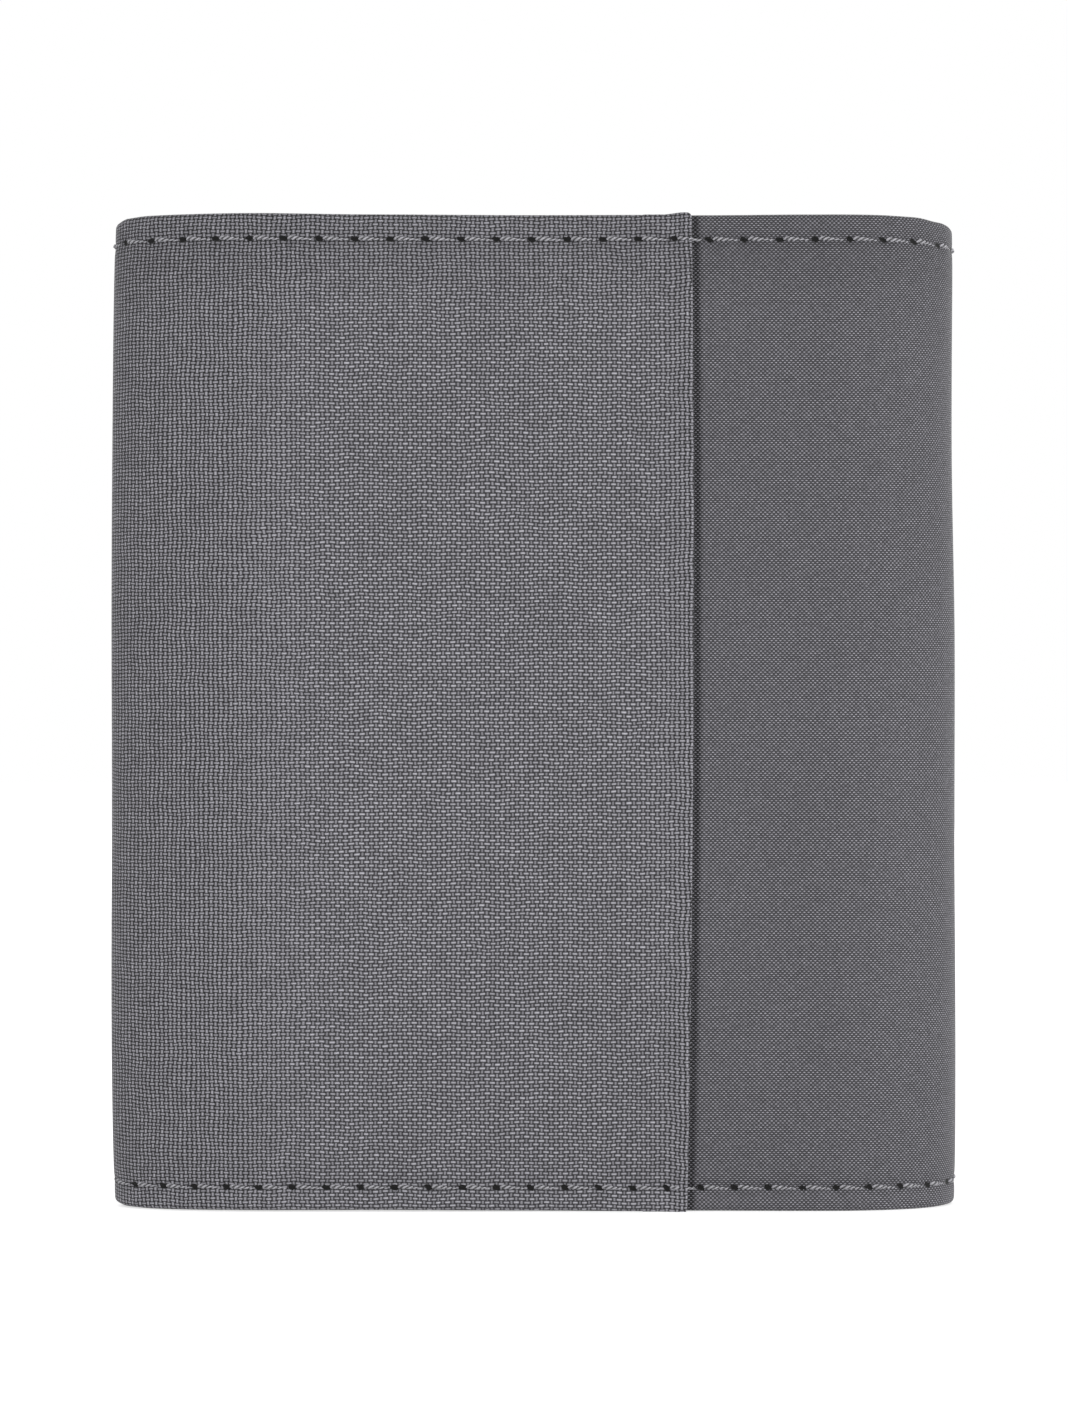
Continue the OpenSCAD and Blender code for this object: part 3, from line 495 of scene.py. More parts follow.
class Fold:
    """The wallet's skin on one side, in plan: flat back, round fold, flat front.

    Distances run along the skin from the wallet's middle, round the fold and on to the free edge."""

    def __init__(self, side, reach, back_y, front_y, slot):
        self.side, self.reach, self.slot = side, reach, slot
        self.flat = (cad_high.x if side > 0 else -cad_low.x) - reach
        self.middle, self.half = (back_y + front_y) / 2, (front_y - back_y) / 2
        self.turns = np.linspace(math.pi / 2, -math.pi / 2, 2001)
        x, y = reach * np.cos(self.turns), self.half * np.sin(self.turns)
        self.lengths = np.concatenate([[0], np.cumsum(np.hypot(np.diff(x), np.diff(y)))])
        self.apex = self.flat + self.lengths[1000]
        self.end = self.flat + self.lengths[-1]

    def place(self, distance, height, depth, dip=0.0):
        """Points at a depth under the skin, as an array of x, y and z."""
        spot = self.side * np.minimum(distance, 2 * self.apex - distance)
        rise = height / HEIGHT
        top, foot = eased(spot, TOP_EDGE), eased(spot, FOOT_EDGE)
        level = height - top * rise ** EDGE_POWER + foot * (1 - rise) ** EDGE_POWER
        turn = np.interp(distance - self.flat, self.lengths, self.turns)
        cos, sin = np.cos(turn), np.sin(turn)
        x = self.flat + self.reach * cos + np.minimum(distance - self.flat, 0) - np.maximum(distance - self.end, 0)
        y = self.middle - self.half * sin
        out_x, out_y = cos / self.reach, -sin / self.half
        size = np.hypot(out_x, out_y)
        out_x, out_y = out_x / size, out_y / size
        x = x - out_x * depth - cos * (SIDE_SHARE * fall(height) + self.pull(height))
        y = y - out_y * depth + sin * fall(height) - dip
        return np.stack([self.side * x, y, level + 0 * x], axis=-1)

    def pull(self, height):
        """How far the fold narrows at a height."""
        if self.side > 0:
            return RIGHT_TOP_PULL * (1 - smooth(HEIGHT - height, RIGHT_TOP_START, RIGHT_TOP_END))
        high = np.clip(1 - (HEIGHT - height) / LEFT_TOP_BAND, 0, 1) ** 2
        low = np.clip(1 - height / LEFT_FOOT_BAND, 0, 1) ** 2
        return LEFT_TOP_PULL * high + LEFT_FOOT_PULL * low


LEFT = Fold(-1, LEFT_REACH, COARSE_FACE, INNER_FACE, "coarse_cloth")
RIGHT = Fold(1, RIGHT_REACH, FINE_FACE, FRONT_FACE, "fine_cloth")


class Length:
    """One length of cover: its fold, its way from the crease, -1 on the back and 1 on the front, the two
    bodies that it joins, which are not used, and its free end with its drop and the band over which it drops."""

    def __init__(self, fold, way, *bodies, end=0.0, drop=0.0, band=1.0):
        self.fold, self.way, self.bodies = fold, way, bodies
        self.end, self.drop, self.band = end, drop, band

    def dip(self, s):
        """How far the skin lies in at a distance, near the free end."""
        return self.drop * np.maximum(0, 1 - (self.end - s) / self.band) ** 2

    def bend(self, piece):
        """Works out two places near the crease, which nothing uses, and bakes the piece's placement into its mesh.
        """
        near, far = (self.fold.place(np.array(self.fold.apex + self.way * reach), np.array(MID_Z), np.array(0.0))
                     for reach in (1.5 * MM, 11.5 * MM))
        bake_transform(piece)


COARSE_BACK = Length(LEFT, -1, "back_panel", "inner_spine")
FINE_BACK = Length(RIGHT, -1, "back_panel", "outer_spine")
INNER_FLAP = Length(LEFT, 1, "inner_spine", "inner_flap", end=LEFT.end + LEFT.flat + INNER_TIP_X,
                    drop=INNER_TIP_DROP, band=INNER_TIP_BAND)
OUTER_FLAP = Length(RIGHT, 1, "outer_spine", "outer_flap", end=RIGHT.end + RIGHT.flat - OUTER_TIP_X,
                    drop=OUTER_TIP_DROP, band=OUTER_TIP_BAND)


def relief(u, z):
    """How far the skin lies below its plain form: grooves and puckers at the seams, and slight waves."""
    depth = 0
    flatness = 1 - (1 - FOLD_GROOVE_SHARE) * smooth(np.abs(u), FOLD_GROOVE_START, FOLD_GROOVE_END)
    for seam, pitch, hole in SEAMS:
        beat = np.cos(2 * math.pi * (u - hole) / pitch)
        depth = depth + GROOVE_DEPTH * flatness * (1 + GROOVE_BEAT * beat) * bell(z - seam, GROOVE_W)
        depth = depth + PUCKER * flatness * beat * np.exp(-np.abs(z - seam) / PUCKER_REACH)
    waves = np.sin(u / (5.3 * MM) + 1.3 * np.sin(z / (17 * MM))) * np.sin(z / (11.7 * MM) + 0.8)
    waves = waves + 0.6 * np.sin(u / (13.1 * MM) - z / (19.3 * MM) + 2.1)
    return depth + WAVE * waves


def joined(*spots):
    """Places in order, each once."""
    return np.unique(np.concatenate(spots))


def steps(start, end, step):
    return np.linspace(start, end, max(2, int(math.ceil(abs(end - start) / step)) + 1))


def edge_steps(radius):
    """Places across a rounded edge, crowded where it turns most."""
    return radius * (1 - np.cos(np.linspace(0, math.pi / 2, 6)))


def strip_steps(edge):
    """Places from 0 to 1 across a narrow strip with rounded edges."""
    return np.concatenate([edge_steps(edge), np.linspace(edge, 1 - edge, 9)[1:-1], 1 - edge_steps(edge)[::-1]])


def rows_of_height(radius):
    """Heights of a cover's rows: crowded at both edges and along the seams."""
    band = np.concatenate([edge_steps(radius), steps(radius, EDGE_BAND, SEAM_ROW)[1:]])
    middle = steps(EDGE_BAND, HEIGHT - EDGE_BAND, COVER_ROW)[1:-1]
    return np.concatenate([band, middle, HEIGHT - band[::-1]])


def round_off(distance_to_edge, radius):
    """How much of a piece's thickness is left near a rounded edge, from 0 to 1."""
    inside = np.clip(distance_to_edge / radius, 0, 1)
    return np.sqrt(np.maximum(0, 1 - (1 - inside) ** 2))


def new_object(name, data):
    made = bpy.data.objects.new(name, data)
    bpy.context.scene.collection.objects.link(made)
    return made


def closed_cloth(name, outer, inner, uv, finishes, is_lining=None, flat_ends=(), fields={}):
    """A closed body between two grids of points, which meet at the rounded edges.

    finishes are the materials of the outer and the inner face, and a flat end, 0 or -1, gets a cap."""
    columns, rows = outer.shape[:2]
    loop_rows = 2 * rows - 1
    bpy.ops.mesh.primitive_grid_add(x_subdivisions=columns - 1, y_subdivisions=loop_rows - 1, size=2)
    piece = bpy.context.object
    piece.name = piece.data.name = name
    mesh = piece.data
    co = np.empty(len(mesh.vertices) * 3)
    mesh.vertices.foreach_get("co", co)
    co = co.reshape(-1, 3)
    column = np.rint((co[:, 0] + 1) / 2 * (columns - 1)).astype(int)
    row = np.rint((co[:, 1] + 1) / 2 * (loop_rows - 1)).astype(int)
    is_outer = row < rows
    level = np.where(is_outer, row, loop_rows - 1 - row)
    points = np.where(is_outer[:, None], outer[column, level], inner[column, level])
    mesh.vertices.foreach_set("co", points.reshape(-1))
    corner = np.empty(len(mesh.loops), int)
    mesh.loops.foreach_get("vertex_index", corner)
    mesh.uv_layers[0].name = "cloth"
    mesh.uv_layers[0].data.foreach_set("uv", uv[column[corner], level[corner]].reshape(-1))
    for label, values in fields.items():
        mesh.attributes.new(label, "FLOAT", "POINT").data.foreach_set("value", values[column, level])
    for finish in finishes:
        mesh.materials.append(finish)
    if is_lining is not None:
        quads = np.empty(len(mesh.polygons) * 4, int)
        mesh.polygons.foreach_get("vertices", quads)
        quads = quads.reshape(-1, 4)
        inside = ~is_outer[quads].any(1) & is_lining[column[quads], level[quads]].all(1)
        mesh.polygons.foreach_set("material_index", inside.astype(np.int32))
    form = bmesh.new()
    form.from_mesh(mesh)
    form.verts.ensure_lookup_table()
    index = {(int(c), int(r)): v for v, (c, r) in enumerate(zip(column, row))}
    for c in (end % columns for end in flat_ends):
        for r in range(rows - 1):
            corners = [index[c, r], index[c, r + 1], index[c, loop_rows - 2 - r], index[c, loop_rows - 1 - r]]
            form.faces.new([form.verts[v] for v in dict.fromkeys(corners)])
    bmesh.ops.remove_doubles(form, verts=form.verts, dist=1e-6)
    bmesh.ops.dissolve_degenerate(form, edges=form.edges, dist=1e-8)
    bmesh.ops.recalc_face_normals(form, faces=form.faces)
    if form.calc_volume(signed=True) < 0:
        bmesh.ops.reverse_faces(form, faces=form.faces)
    form.to_mesh(mesh)
    form.free()
    bpy.ops.object.shade_smooth_by_angle(angle=math.radians(50))
    return piece


def lap_edge(z):
    """Where the coarse cloth's turned edge lies at a height, from the wallet's middle to the right."""
    return LAP_MOST_X - LAP_BOW * ((z - LAP_MOST_Z) / HEIGHT) ** 2


def thickness_along(s, stops):
    """Thickness along the skin, going smoothly from stop to stop, each a distance and a value."""
    value = np.full_like(s, stops[0][1])
    for (s0, v0), (s1, v1) in zip(stops, stops[1:]):
        value = np.where(s > s0, v0 + (v1 - v0) * smooth(s, s0, s1), value)
    return value


def painted_light_by_height(z):
    """Painted light and shade at a height: how much lighter or darker the cloth's colour is made there."""
    from_seam = np.minimum(*(abs(z - seam) for seam, pitch, hole in SEAMS))
    at_foot = FOOT_LIGHT * (1 - smooth(z, FOOT_LIGHT_START, FOOT_LIGHT_END))
    at_top = TOP_SHADE * smooth(z, TOP_SHADE_START, TOP_SHADE_FULL) * (1 - smooth(z, TOP_SHADE_END, HEIGHT))
    return at_foot - at_top - RISE_SHADE * smooth(z, RISE_START, RISE_END) - SEAM_SHADE * bell(
        from_seam, SEAM_SHADE_W)


def cover(name, length, start, end, edge_t, fill, stops, *nodes):
    """One length of sewn cover: outer cloth, padding and lining, closed along the top and bottom.

    stops give its thickness along the skin, and nodes are what it stands for."""
    fold, lap, beside_lap, tip = length.fold, length is COARSE_BACK, length is FINE_BACK, length.way > 0
    radius = edge_t / 2
    distances = steps(start, end, COVER_STEP)
    if beside_lap:
        distances = joined(distances, steps(LAP_START_X - NEAR_LAP_START, LAP_START_X + NEAR_LAP_END, NEAR_LAP_STEP))
    if lap:
        distances = joined(start + edge_steps(radius), distances[distances > start + radius],
                           steps(start + LAP_W - LAP_TURN, start + LAP_W + LAP_TURN, LAP_TURN_STEP))
    if tip:
        distances = joined(distances[distances < end - radius], end - edge_steps(radius))
    s, z = np.meshgrid(distances, rows_of_height(radius), indexing="ij")
    from_start, near_z = s - start, np.minimum(z, HEIGHT - z)
    lip = LAP_CORNER if lap else COVER_CORNER
    corner = lip * (1 - round_off(near_z, lip))
    where = s
    if tip:
        where = s - corner * smooth(s, end - CORNER_REACH, end)
    if lap:
        lean = lap_edge(z) - LAP_START_X - corner
        where = s - lean * (1 - smooth(from_start, 0, LAP_LEAN_END))
    depth = relief(fold.side * where, z)
    full = thickness_along(s, stops)
    edge = np.minimum(edge_t, full)
    pinch = np.maximum(0, 1 - near_z / EDGE_BAND) ** 2
    inner = full + (edge - full) * pinch + 0.5 * depth
    keep, crease = round_off(near_z, radius), 0 * s
    if beside_lap:
        beside = s - lap_edge(z)
        depth = depth + LAP_CREASE * bell(beside - CREASE_AT, CREASE_W)
        # painted shade in the crease beside the turned edge, beyond the real groove
        crease = bell(np.maximum(0, beside - SHADE_AT), SHADE_W)
    if lap:
        depth = depth - LAP_PUFF * bell(from_start - PUFF_AT, PUFF_W)
        inner = np.where(from_start < LAP_W, LAP_T, inner)
        keep = keep * round_off(from_start, LAP_T / 2)
    if tip:
        keep = keep * round_off(end - s, radius)
    middle, half = (depth + inner) / 2, (inner - depth) / 2 * keep
    outside, inside = (fold.place(where, z, middle + side * half, length.dip(s)) for side in (-1, 1))
    # the slack mask: the weave lying slack, with painted sheen round the fold and along the turned edge and painted
    # shade towards the top
    slack_and_painted_light = np.clip(smooth(s, FOLD_SLACK_LIGHT_START, FOLD_SLACK_LIGHT_END)
                    + TOP_SLACK_SHADE * (1 - smooth(HEIGHT - z, TOP_SLACK_SHADE_START, TOP_SLACK_SHADE_END)), 0, 1)
    if lap:
        poke = LAP_POKE * (1 - smooth(from_start, POKE_START, POKE_END)) * (z - MID_Z) / MID_Z
        outside[..., 2] += poke
        inside[..., 2] += poke
        slack_and_painted_light = np.maximum(slack_and_painted_light, LAP_SLACK_LIGHT * (1 - smooth(from_start, 0, LAP_SLACK_LIGHT_W)))
        slack_and_painted_light = np.maximum(slack_and_painted_light, 1 - smooth(from_start, LAP_RIM_START, LAP_RIM_END))
    # the fields below carry painted sheen, light and shade into the cloth's colour
    piece = closed_cloth(
        name, outside, inside, np.stack([fold.side * where, z], axis=-1),
        [FINISH[fold.slot], FINISH["lining_cloth"]], is_lining=near_z > TURNED_EDGE,
        flat_ends=(0,) if tip else (-1,) if lap else (0, -1),
        fields={"slack_and_painted_light": slack_and_painted_light, "crease": crease, "painted_height_light": painted_light_by_height(z)})
    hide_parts(*nodes)
    length.bend(piece)


def make_covers():
    """The covers of the back, with the folds, and of the two flaps."""
    cover("coarse_cloth_back", COARSE_BACK, -LAP_START_X, LEFT.apex, EDGE_T, 0.4,
          ((LEFT.flat - 3 * MM, BACK_COARSE_T), (LEFT.flat + 9 * MM, FOLD_COARSE_T)),
          "shell_coarse_back", "back_padding", "note_lining_back", "shell_coarse_spine", "inner_spine_lining")
    cover("fine_cloth_back", FINE_BACK, LAP_START_X - LAP_W, RIGHT.apex, EDGE_T, 0.4,
          ((RIGHT.flat - 3 * MM, BACK_FINE_T), (RIGHT.flat + 7 * MM, FOLD_FINE_T)),
          "shell_fine_back", "shell_fine_spine", "outer_spine_lining")
    end = INNER_FLAP.end
    cover("coarse_cloth_inner_flap", INNER_FLAP, LEFT.apex, end, EDGE_T, 0.4,
          ((LEFT.end - 9 * MM, FOLD_COARSE_T), (LEFT.end + 3 * MM, INNER_FLAP_T),
           (end - 5 * MM, INNER_FLAP_T), (end, INNER_TIP_T)),
          "shell_coarse_flap", "inner_flap_padding")
    end = OUTER_FLAP.end
    cover("fine_cloth_outer_flap", OUTER_FLAP, RIGHT.apex, end, THIN_EDGE_T, 0.2,
          ((RIGHT.end - 7 * MM, FOLD_FINE_T), (RIGHT.end + 3 * MM, OUTER_FLAP_T),
           (end - 8 * MM, OUTER_FLAP_T), (end - 1 * MM, OUTER_TIP_T)),
          "shell_fine_flap", "outer_flap_padding")


def mesh_piece(name, verts, faces, finish):
    """A smooth piece from points and faces, which are turned outwards."""
    mesh = bpy.data.meshes.new(name)
    mesh.from_pydata(verts, [], faces)
    mesh.materials.append(finish)
    form = bmesh.new()
    form.from_mesh(mesh)
    bmesh.ops.recalc_face_normals(form, faces=form.faces)
    form.to_mesh(mesh)
    form.free()
    for face in mesh.polygons:
        face.use_smooth = True
    return new_object(name, mesh)


def unit(vectors):
    return vectors / np.linalg.norm(vectors, axis=1)[:, None]


def sideways(line, normals):
    """The directions across a line and away from it, at each of its points."""
    ahead = unit(np.gradient(line, axis=0))
    across = unit(np.cross(ahead, normals))
    return across, np.cross(across, ahead)


def tube_faces(rings, sides):
    """The faces of a closed tube round a line, as numbers of its points."""
    last = (rings - 1) * sides
    return [(i + k, i + (k + 1) % sides, i + sides + (k + 1) % sides, i + sides + k)
            for i in range(0, last, sides) for k in range(sides)] + [
                tuple(range(sides))[::-1], tuple(range(last, last + sides))]


def thread_mesh(name, lines, radius, fullness=1.0):
    """Twisted two-ply stitches, each along a short line of points with the surface's normal at each.

    fullness is the share of the radius, at each point of a line where they differ."""
    sides, plies, twist = 5, 2, 1.1 * MM
    off_centre, ply_share, end_share = 0.45, 0.62, 0.6
    verts, faces, painted_ply_shade = [], [], []
    for points, normals in lines:
        count = len(points)
        across, lift = sideways(points, normals)
        run = np.concatenate([[0], np.cumsum(np.linalg.norm(np.diff(points, axis=0), axis=1))])
        full = radius * (np.ones(count) * fullness)
        for ply in range(plies):
            turn = run / twist * 2 * math.pi + ply * math.pi
            centre = points + off_centre * full[:, None] * (
                np.cos(turn)[:, None] * across + np.sin(turn)[:, None] * lift)
            first = len(verts)
            for i in range(count):
                thin = ply_share * full[i] * (end_share if i in (0, count - 1) else 1)
                for k in range(sides):
                    a = 2 * math.pi * k / sides
                    verts.append(tuple(centre[i] + thin * (math.cos(a) * across[i] + math.sin(a) * lift[i])))
                    # how far this side faces the other ply, for the painted shade between the plies
                    painted_ply_shade.append(0.5 - 0.5 * math.cos(turn[i] - a))
            faces += [tuple(first + v for v in face) for face in tube_faces(count, sides)]
    piece = mesh_piece(name, verts, faces, THREAD)
    piece.data.attributes.new("painted_ply_shade", "FLOAT", "POINT").data.foreach_set("value", painted_ply_shade)
    return piece


def skin_lines(length, start, end, seam, pitch, hole):
    """Stitches of one seam that lie between two distances along the skin."""
    fold = length.fold
    share, sunk, _ = SEAM_STITCH
    lines = []
    first = math.floor((min(start * fold.side, end * fold.side) - hole) / pitch) - 1
    last = math.ceil((max(start * fold.side, end * fold.side) - hole) / pitch) + 1
    for number in range(first, last):
        u0, u1 = hole + number * pitch, hole + (number + 1) * pitch
        if not start <= (u0 + u1) / 2 * fold.side < end:
            continue
        u = u0 + (u1 - u0) * share
        z = seam + (0.5 - share) * STITCH_SLANT
        s = u * fold.side
        depth = relief(u, z) + sunk * MM
        if fold is LEFT:
            depth = depth + LAP_STEP * smooth(u, lap_edge(z) - LAP_STEP_START, lap_edge(z) + LAP_STEP_END)
        points = fold.place(s, z, depth, length.dip(s))
        lines.append((points, fold.place(s, z, depth - 0.1 * MM, length.dip(s)) - points))
    return lines


def make_seam_threads():
    """The stitches of both seams, a piece for each length of cover."""
    clear = 1.5 * MM
    for name, length, start, end in (
            ("seam_thread_coarse_back", COARSE_BACK, -LAP_START_X - clear, LEFT.apex),
            ("seam_thread_inner_flap", INNER_FLAP, LEFT.apex, INNER_FLAP.end - clear),
            ("seam_thread_fine_back", FINE_BACK, LAP_START_X + clear, RIGHT.apex),
            ("seam_thread_outer_flap", OUTER_FLAP, RIGHT.apex, OUTER_FLAP.end - clear)):
        lines = [line for seam in SEAMS for line in skin_lines(length, start, end, *seam)]
        piece = thread_mesh(name, lines, THREAD_R, SEAM_STITCH[2])
        length.bend(piece)


def ripple(x, z):
    """Slight waves in the inside cloth."""
    return 0.05 * MM * np.sin(x / (6.1 * MM) + 0.7) * np.sin(z / (8.7 * MM) + 1.9)


def crowded(start, end, step, breaks, corner):
    """Places along a piece, closer together at its edges, in its corners and where its form changes."""
    spots = [start + edge_steps(CLOTH_EDGE), steps(start + CLOTH_EDGE, end - CLOTH_EDGE, step),
             end - edge_steps(CLOTH_EDGE)]
    if corner:
        spots += [start + edge_steps(corner), end - edge_steps(corner)]
    for place in breaks:
        spots.append(place + np.array([-0.5, -0.25, 0, 0.25, 0.5]) * MM)
    spots = np.round(np.concatenate(spots), 7)
    return np.unique(spots[(spots >= round(start, 7)) & (spots <= round(end, 7))])


def pressed(x, z, lines):
    """How far the cloth is pressed in along its stitched lines, each from one x and z to another."""
    depth = 0 * x
    for (x0, z0), (x1, z1) in lines:
        away = np.hypot(x - np.clip(x, min(x0, x1), max(x0, x1)), z - np.clip(z, min(z0, z1), max(z0, z1)))
        depth = np.maximum(depth, PRESS * bell(away, PRESS_W))
    return depth


def on(face, x, z):
    """The y of a face at an x and z. A flat face is a number."""
    return face(x, z) if callable(face) else face + 0 * x


def panel(name, x_span, z_span, low_y, high_y, finish, corner=0.0, left=True, right=True, narrow=None,
          sag=None, lines=(), break_x=(), break_z=(), step=CLOTH_STEP):
    """A flat piece of cloth across the wallet, with turned edges, between two faces.

    Its corners are round on the left, the right or both sides, narrow says how far its sides lie in at a
    height, and sag how far it hangs down at an x and z."""
    (x0, x1), (z0, z1) = np.round(x_span, 7), np.round(z_span, 7)
    break_x = list(break_x) + [a[0] for a, b in lines if a[0] == b[0]]
    break_z = list(break_z) + [a[1] for a, b in lines if a[1] == b[1]]
    x, z = np.meshgrid(
        crowded(x0, x1, step, break_x, 0), crowded(z0, z1, step, break_z, corner), indexing="ij")
    near_x, near_z = np.minimum(x - x0, x1 - x), np.minimum(z - z0, z1 - z)
    inset = narrow(z) if narrow else 0 * z
    if corner:
        inset = inset + corner * (1 - round_off(near_z, corner))
    share = (2 * x - x0 - x1) / (x1 - x0)
    where = x - inset * (right * np.maximum(share, 0) + left * np.minimum(share, 0))
    keep = round_off(near_x, CLOTH_EDGE) * round_off(near_z, CLOTH_EDGE)
    press = pressed(where, z, lines)
    low, high = on(low_y, where, z) + press, on(high_y, where, z) - press
    middle, half = (low + high) / 2, (high - low) / 2 * keep
    level = z - sag(where, z) if sag else z
    return closed_cloth(
        name, np.stack([where, middle - half, level], axis=-1), np.stack([where, middle + half, level], axis=-1),
        np.stack([where, z], axis=-1), [finish])


def belongs(piece, body, slot, *nodes):
    """Puts a piece on its body and hides the nodes that it stands for; slot is not used."""
    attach(piece, body)
    if nodes:
        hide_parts(*nodes)


def sheet(name, node, body, slot, low_y, high_y, also=(), extra=(0, 0), **form):
    """A sheet of cloth in a node's place. extra, how much larger it was cut than the node's box, is not used."""
    low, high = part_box(node)
    piece = panel(name, (low.x, high.x), (low.z, high.z), low_y, high_y, FINISH[slot], **form)
    belongs(piece, body, slot, node, *also)


def stitches(lines, face, way, pitch=STITCH_PITCH):
    """Stitches along straight lines on a face. way is -1 towards the back and 1 towards the front."""
    made = []
    for start, end in lines:
        start, end = np.array(start), np.array(end)
        count = max(1, round(float(np.linalg.norm(end - start)) / pitch))
        for number in range(count):
            t = (number + STITCH_SHARE) / count
            x, z = start[0] + (end[0] - start[0]) * t, start[1] + (end[1] - start[1]) * t
            points = np.stack([x, on(face, x, z) - way * STITCH_DEPTH, z], axis=-1)
            made.append((points, np.tile([0.0, way, 0.0], (len(t), 1))))
    return made


def sewing(name, thread, body, slot):
    belongs(thread_mesh(name, thread, STITCH_R), body, slot)


def level_line(x0, x1, z):
    return ((x0, z), (x1, z))


def frame_lines(x0, x1, z0, z1):
    """The four sides of a rectangle."""
    return [level_line(x0, x1, z0), level_line(x0, x1, z1), ((x0, z0), (x0, z1)), ((x1, z0), (x1, z1))]


def sewn_share(z):
    """How free a divider is of its bottom seam at a height: 0 where it is sewn in, 1 where it is flat."""
    return smooth(z, BOTTOM_BEND_START, BOTTOM_BEND_END)


def bent_to_seam(z, flat, sewn):
    """A divider's face: flat, but bent to the cover at the bottom, where it is sewn in."""
    return sewn + (flat - sewn) * sewn_share(z)


def divider(node, body, low_y, high_y, way, seam_ends, inset, also=(), extra=(0, 0)):
    """A divider, narrower by its inset at the bottom, where it is sewn in. Gives its stitches."""
    low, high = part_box(node)
    seam = level_line(low.x + seam_ends[0], high.x - seam_ends[1], FOOT_SEAM_Z)
    hem_z = high.z - HEM
    face = high_y if way > 0 else low_y
    sheet(f"{node}_cloth", node, body, "lining_cloth", low_y, high_y, also, extra,
          narrow=lambda z: inset * (1 - sewn_share(z)), lines=[seam, level_line(low.x, high.x, hem_z)],
          break_z=(4 * MM, 5.5 * MM))
    hem = level_line(low.x + HEM_END, high.x - HEM_END, hem_z)
    return stitches([seam], face, way, FOOT_PITCH) + stitches([hem], face, way)


def flap_divider(flap, high_y, thickness, seam_ends, inset):
    """The divider on a flap, from its front face, with its stitches."""
    node = f"note_divider_{flap}"
    thread = divider(node, flap, lambda x, z: high_y(x, z) - thickness, high_y, -1, seam_ends, inset)
    sewing(f"stitches_{flap}_divider", thread, flap, "lining_cloth")


def make_back_pockets():
    """The divider on the back panel, and its three card slots in steps."""
    low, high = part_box("note_divider_back")
    divider_t = high.y - low.y

    def rear_face(y):
        return lambda x, z: bent_to_seam(z, y + ripple(x, z), LINING_FACE - fall(z) + SEWN_GAP)

    divider_low = rear_face(low.y)
    thread = divider(
        "note_divider_back", "back_panel", divider_low, lambda x, z: divider_low(x, z) + divider_t, 1,
        (4 * MM, 4 * MM), 3.6 * MM, ("note_bottom_seam",), (0, 1 * MM))

    slots = ("card_slot_rear", "card_slot_middle", "card_slot_front")
    boxes = [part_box(node) for node in slots]
    slot_t = boxes[1][0].y - boxes[0][0].y
    hem_t = boxes[0][1].y - boxes[0][0].y - slot_t
    side_x = boxes[0][1].x - 1.4 * MM
    foot = 5 * MM
    for number, (low, high) in enumerate(boxes):
        top, under = high.z, rear_face(low.y)
        hem_z = top - SLOT_HEM

        def slot_low(x, z):
            return under(x, z) + divider_t + number * slot_t

        def slot_high(x, z):
            return under(x, z) + divider_t + (number + 1) * slot_t + hem_t * smooth(
                z, top - SLOT_HEM_FOOT, top - SLOT_HEM_FULL)

        def sag(x, z):
            return SLOT_SAG * np.cos(math.pi * x / (2 * side_x)) * smooth(z, top - SLOT_SAG_BAND, top)

        below = boxes[number + 1][1].z if number < 2 else foot
        sides = [((x, below), (x, top - 0.6 * MM)) for x in (-side_x, side_x)]
        sheet(f"card_slot_{number + 1}_cloth", slots[number], "back_panel", "pocket_cloth", slot_low, slot_high,
              corner=0.8 * MM, sag=sag, lines=[level_line(low.x, high.x, hem_z)] + sides,
              break_z=(top - 4 * MM, foot))
        row = stitches([level_line(-side_x, side_x, hem_z)], slot_high, 1)
        for points, normals in row:
            points[:, 2] -= sag(points[:, 0], points[:, 2])
        bottom = [level_line(-side_x, side_x, foot)] if number == 2 else []
        thread += row + stitches(sides + bottom, slot_high, 1)
    sewing("stitches_card_slots", thread, "back_panel", "pocket_cloth")


def bristles(name, line, radius, sides, places, turns, sizes, finish):
    """Many copies of one bent bristle in a single piece, each at its place, turned about Y and sized."""
    line = np.array(line) * MM
    across, lift = sideways(line, [1.0, 0.3, 0.2])
    angle = 2 * math.pi * np.arange(sides) / sides
    rings = line[:, None] + radius * (np.cos(angle)[None, :, None] * across[:, None]
                                      + np.sin(angle)[None, :, None] * lift[:, None])
    shape = rings.reshape(-1, 3)
    faces = tube_faces(len(line), sides)
    cos, sin = np.cos(turns)[:, None], np.sin(turns)[:, None]
    scaled = shape[None] * np.array(sizes)[:, None, None]
    verts = np.stack([scaled[..., 0] * cos + scaled[..., 2] * sin, scaled[..., 1],
                      scaled[..., 2] * cos - scaled[..., 0] * sin], axis=-1) + np.array(places)[:, None]
    return mesh_piece(
        name, verts.reshape(-1, 3).tolist(),
        [tuple(v + n * len(shape) for v in face) for n in range(len(places)) for face in faces], finish)


